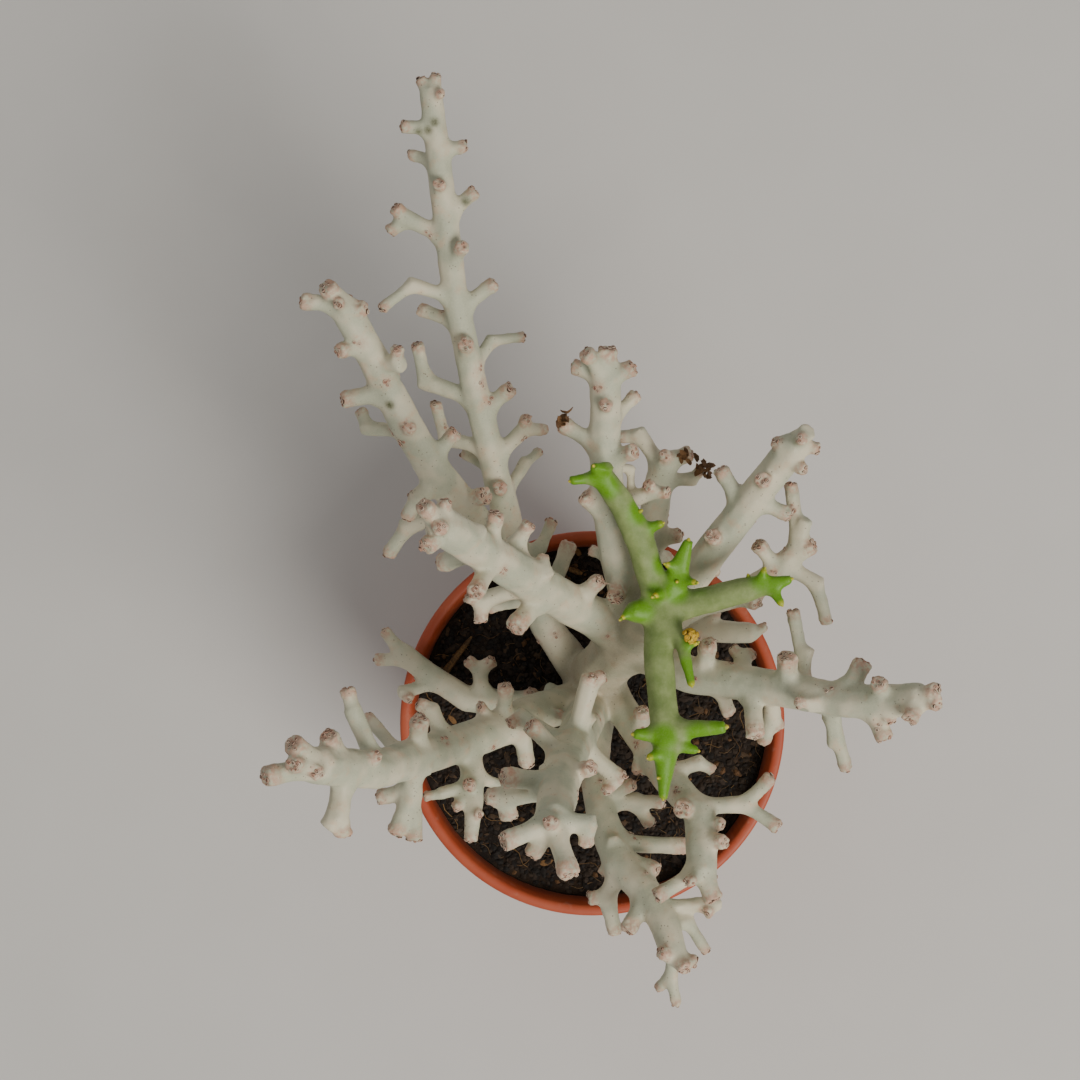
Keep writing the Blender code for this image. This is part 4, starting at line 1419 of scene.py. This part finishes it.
# noise_vector starts from the clock unless it is given a seed
noise.seed_set(7)
crumb = crumb_template("crumb_template", 0.8 * MM, 1.25, 0.75, 1.0)
chip = crumb_template("chip_template", 0.9 * MM, 2.3, 0.42, 5.0)
fibre = fibre_template("fibre_template", 11 * MM, 0.16 * MM, 8, 2.0)
thread = fibre_template("thread_template", 6 * MM, 0.1 * MM, 6, 9.0)
print("templates of", [len(obj.data.polygons) for obj in (crumb, chip, fibre, thread)], "faces")

# %% Loose pieces


def paint_loose(name, dark, light, odd, rough):
    """Each copy has its own shade, and a few have an odd one."""
    paint = Paint(name)
    tint = paint.attribute("tint")
    grain = paint.noise(0.5 * MM, 2)
    colour = paint.mix(tint.ramp(0.25, 0.85), dark, light)
    colour = paint.mix(tint.ramp(0.955, 0.97), colour, odd)
    colour = paint.mix(grain.ramp(0.45, 0.7) * 0.35, colour, dark)
    return paint.finish(colour, rough + grain * 0.1, paint.bump(grain, 0.15 * MM, 0.8))


peat_flat = points_of(peat_bed.data)
peat_reach = np.hypot(peat_flat[:, 0], peat_flat[:, 1])
open_top = (peat_flat[:, 2] > soil_high.z - 6 * MM) & (peat_reach < soil_edge - 1.2 * MM)
store(peat_bed.data, "open_top", open_top)
LOOSE_ROUGHNESS = 0.8
LOOSE = (
    # name, template, spacing in mm, smallest, largest, seed
    ("peat_crumbs", crumb, 1.35, 0.4, 1.5, 11),
    ("bark_chips", chip, 4.6, 0.5, 1.5, 21),
    ("root_fibres", fibre, 7.0, 0.5, 1.4, 31),
    ("root_threads", thread, 4.4, 0.5, 1.5, 41),
)
LOOSE_COLOURS = {
    # dark, light, odd
    "peat_crumbs": ((0.007, 0.0045, 0.003), (0.029, 0.017, 0.009), (0.11, 0.052, 0.018)),
    "bark_chips": ((0.022, 0.012, 0.006), (0.066, 0.037, 0.017), (0.19, 0.095, 0.03)),
    "root_fibres": ((0.10, 0.05, 0.018), (0.23, 0.13, 0.047), (0.08, 0.13, 0.025)),
    "root_threads": ((0.05, 0.028, 0.012), (0.19, 0.115, 0.05), (0.34, 0.25, 0.12)),
}
for name, template, spacing, smallest, largest, seed in LOOSE:
    material = paint_loose(name, *LOOSE_COLOURS[name], LOOSE_ROUGHNESS)
    places = ("open_top", 0.99)
    tree = scatter(name, spacing * MM, smallest, largest, seed, material, template, *places)
    keep_piece(link_object(name, tree.apply_to(peat_bed)), "peat")

# %% [markdown]
# ## Bark slivers
# Two splinters of bark lie on the soil. Their shape in the frame is right, so they keep it and
# only get a finish: tan wood with long dark grain.

# %% Sliver finish
WOOD_TAN = (0.20, 0.105, 0.03)
WOOD_BROWN = (0.075, 0.036, 0.012)
WOOD_STAIN = (0.04, 0.022, 0.010)


def paint_sliver():
    paint = Paint("dry_bark")
    grain = paint.noise(0.7 * MM, 4, 0.7)
    stain = paint.noise(3 * MM, 2)
    colour = paint.mix(grain.ramp(0.4, 0.62), WOOD_TAN, WOOD_BROWN)
    colour = paint.mix(stain.ramp(0.5, 0.7) * 0.6, colour, WOOD_STAIN)
    return paint.finish(colour, 0.75 + stain * 0.1, paint.bump(grain, 0.2 * MM, 0.9))


sliver_material = paint_sliver()
for name in ("bark_sliver_left", "bark_sliver_back"):
    for slot_of in nodes[name].material_slots:
        slot_of.material = sliver_material
print("slivers finished")

# %% [markdown]
# ## Floor and clearing up
# The pot stands on a plain pale floor. The last lines remove the templates and the whole skin,
# which the finished pieces no longer need.

# %% Floor
FLOOR_DARK = (0.60, 0.585, 0.56)
FLOOR_LIGHT = (0.64, 0.625, 0.60)
FLOOR_REACH = 3.0


def paint_floor():
    paint = Paint("plain_floor")
    tone = paint.noise(40 * MM, 2)
    return paint.finish(paint.mix(tone, FLOOR_DARK, FLOOR_LIGHT), 0.8 + tone * 0.1)


corners = [(x * FLOOR_REACH, y * FLOOR_REACH, 0) for x, y in ((-1, -1), (1, -1), (1, 1), (-1, 1))]
floor_mesh = bpy.data.meshes.new("floor")
floor_mesh.from_pydata(corners, [], [(0, 1, 2, 3)])
floor = link_object("floor", floor_mesh, paint_floor())
templates = (scar_template, bud_template, cup_template, flake, crumb, chip, fibre, thread)
for done_with in (*templates, plant):
    bpy.data.objects.remove(done_with)
print("floor laid")
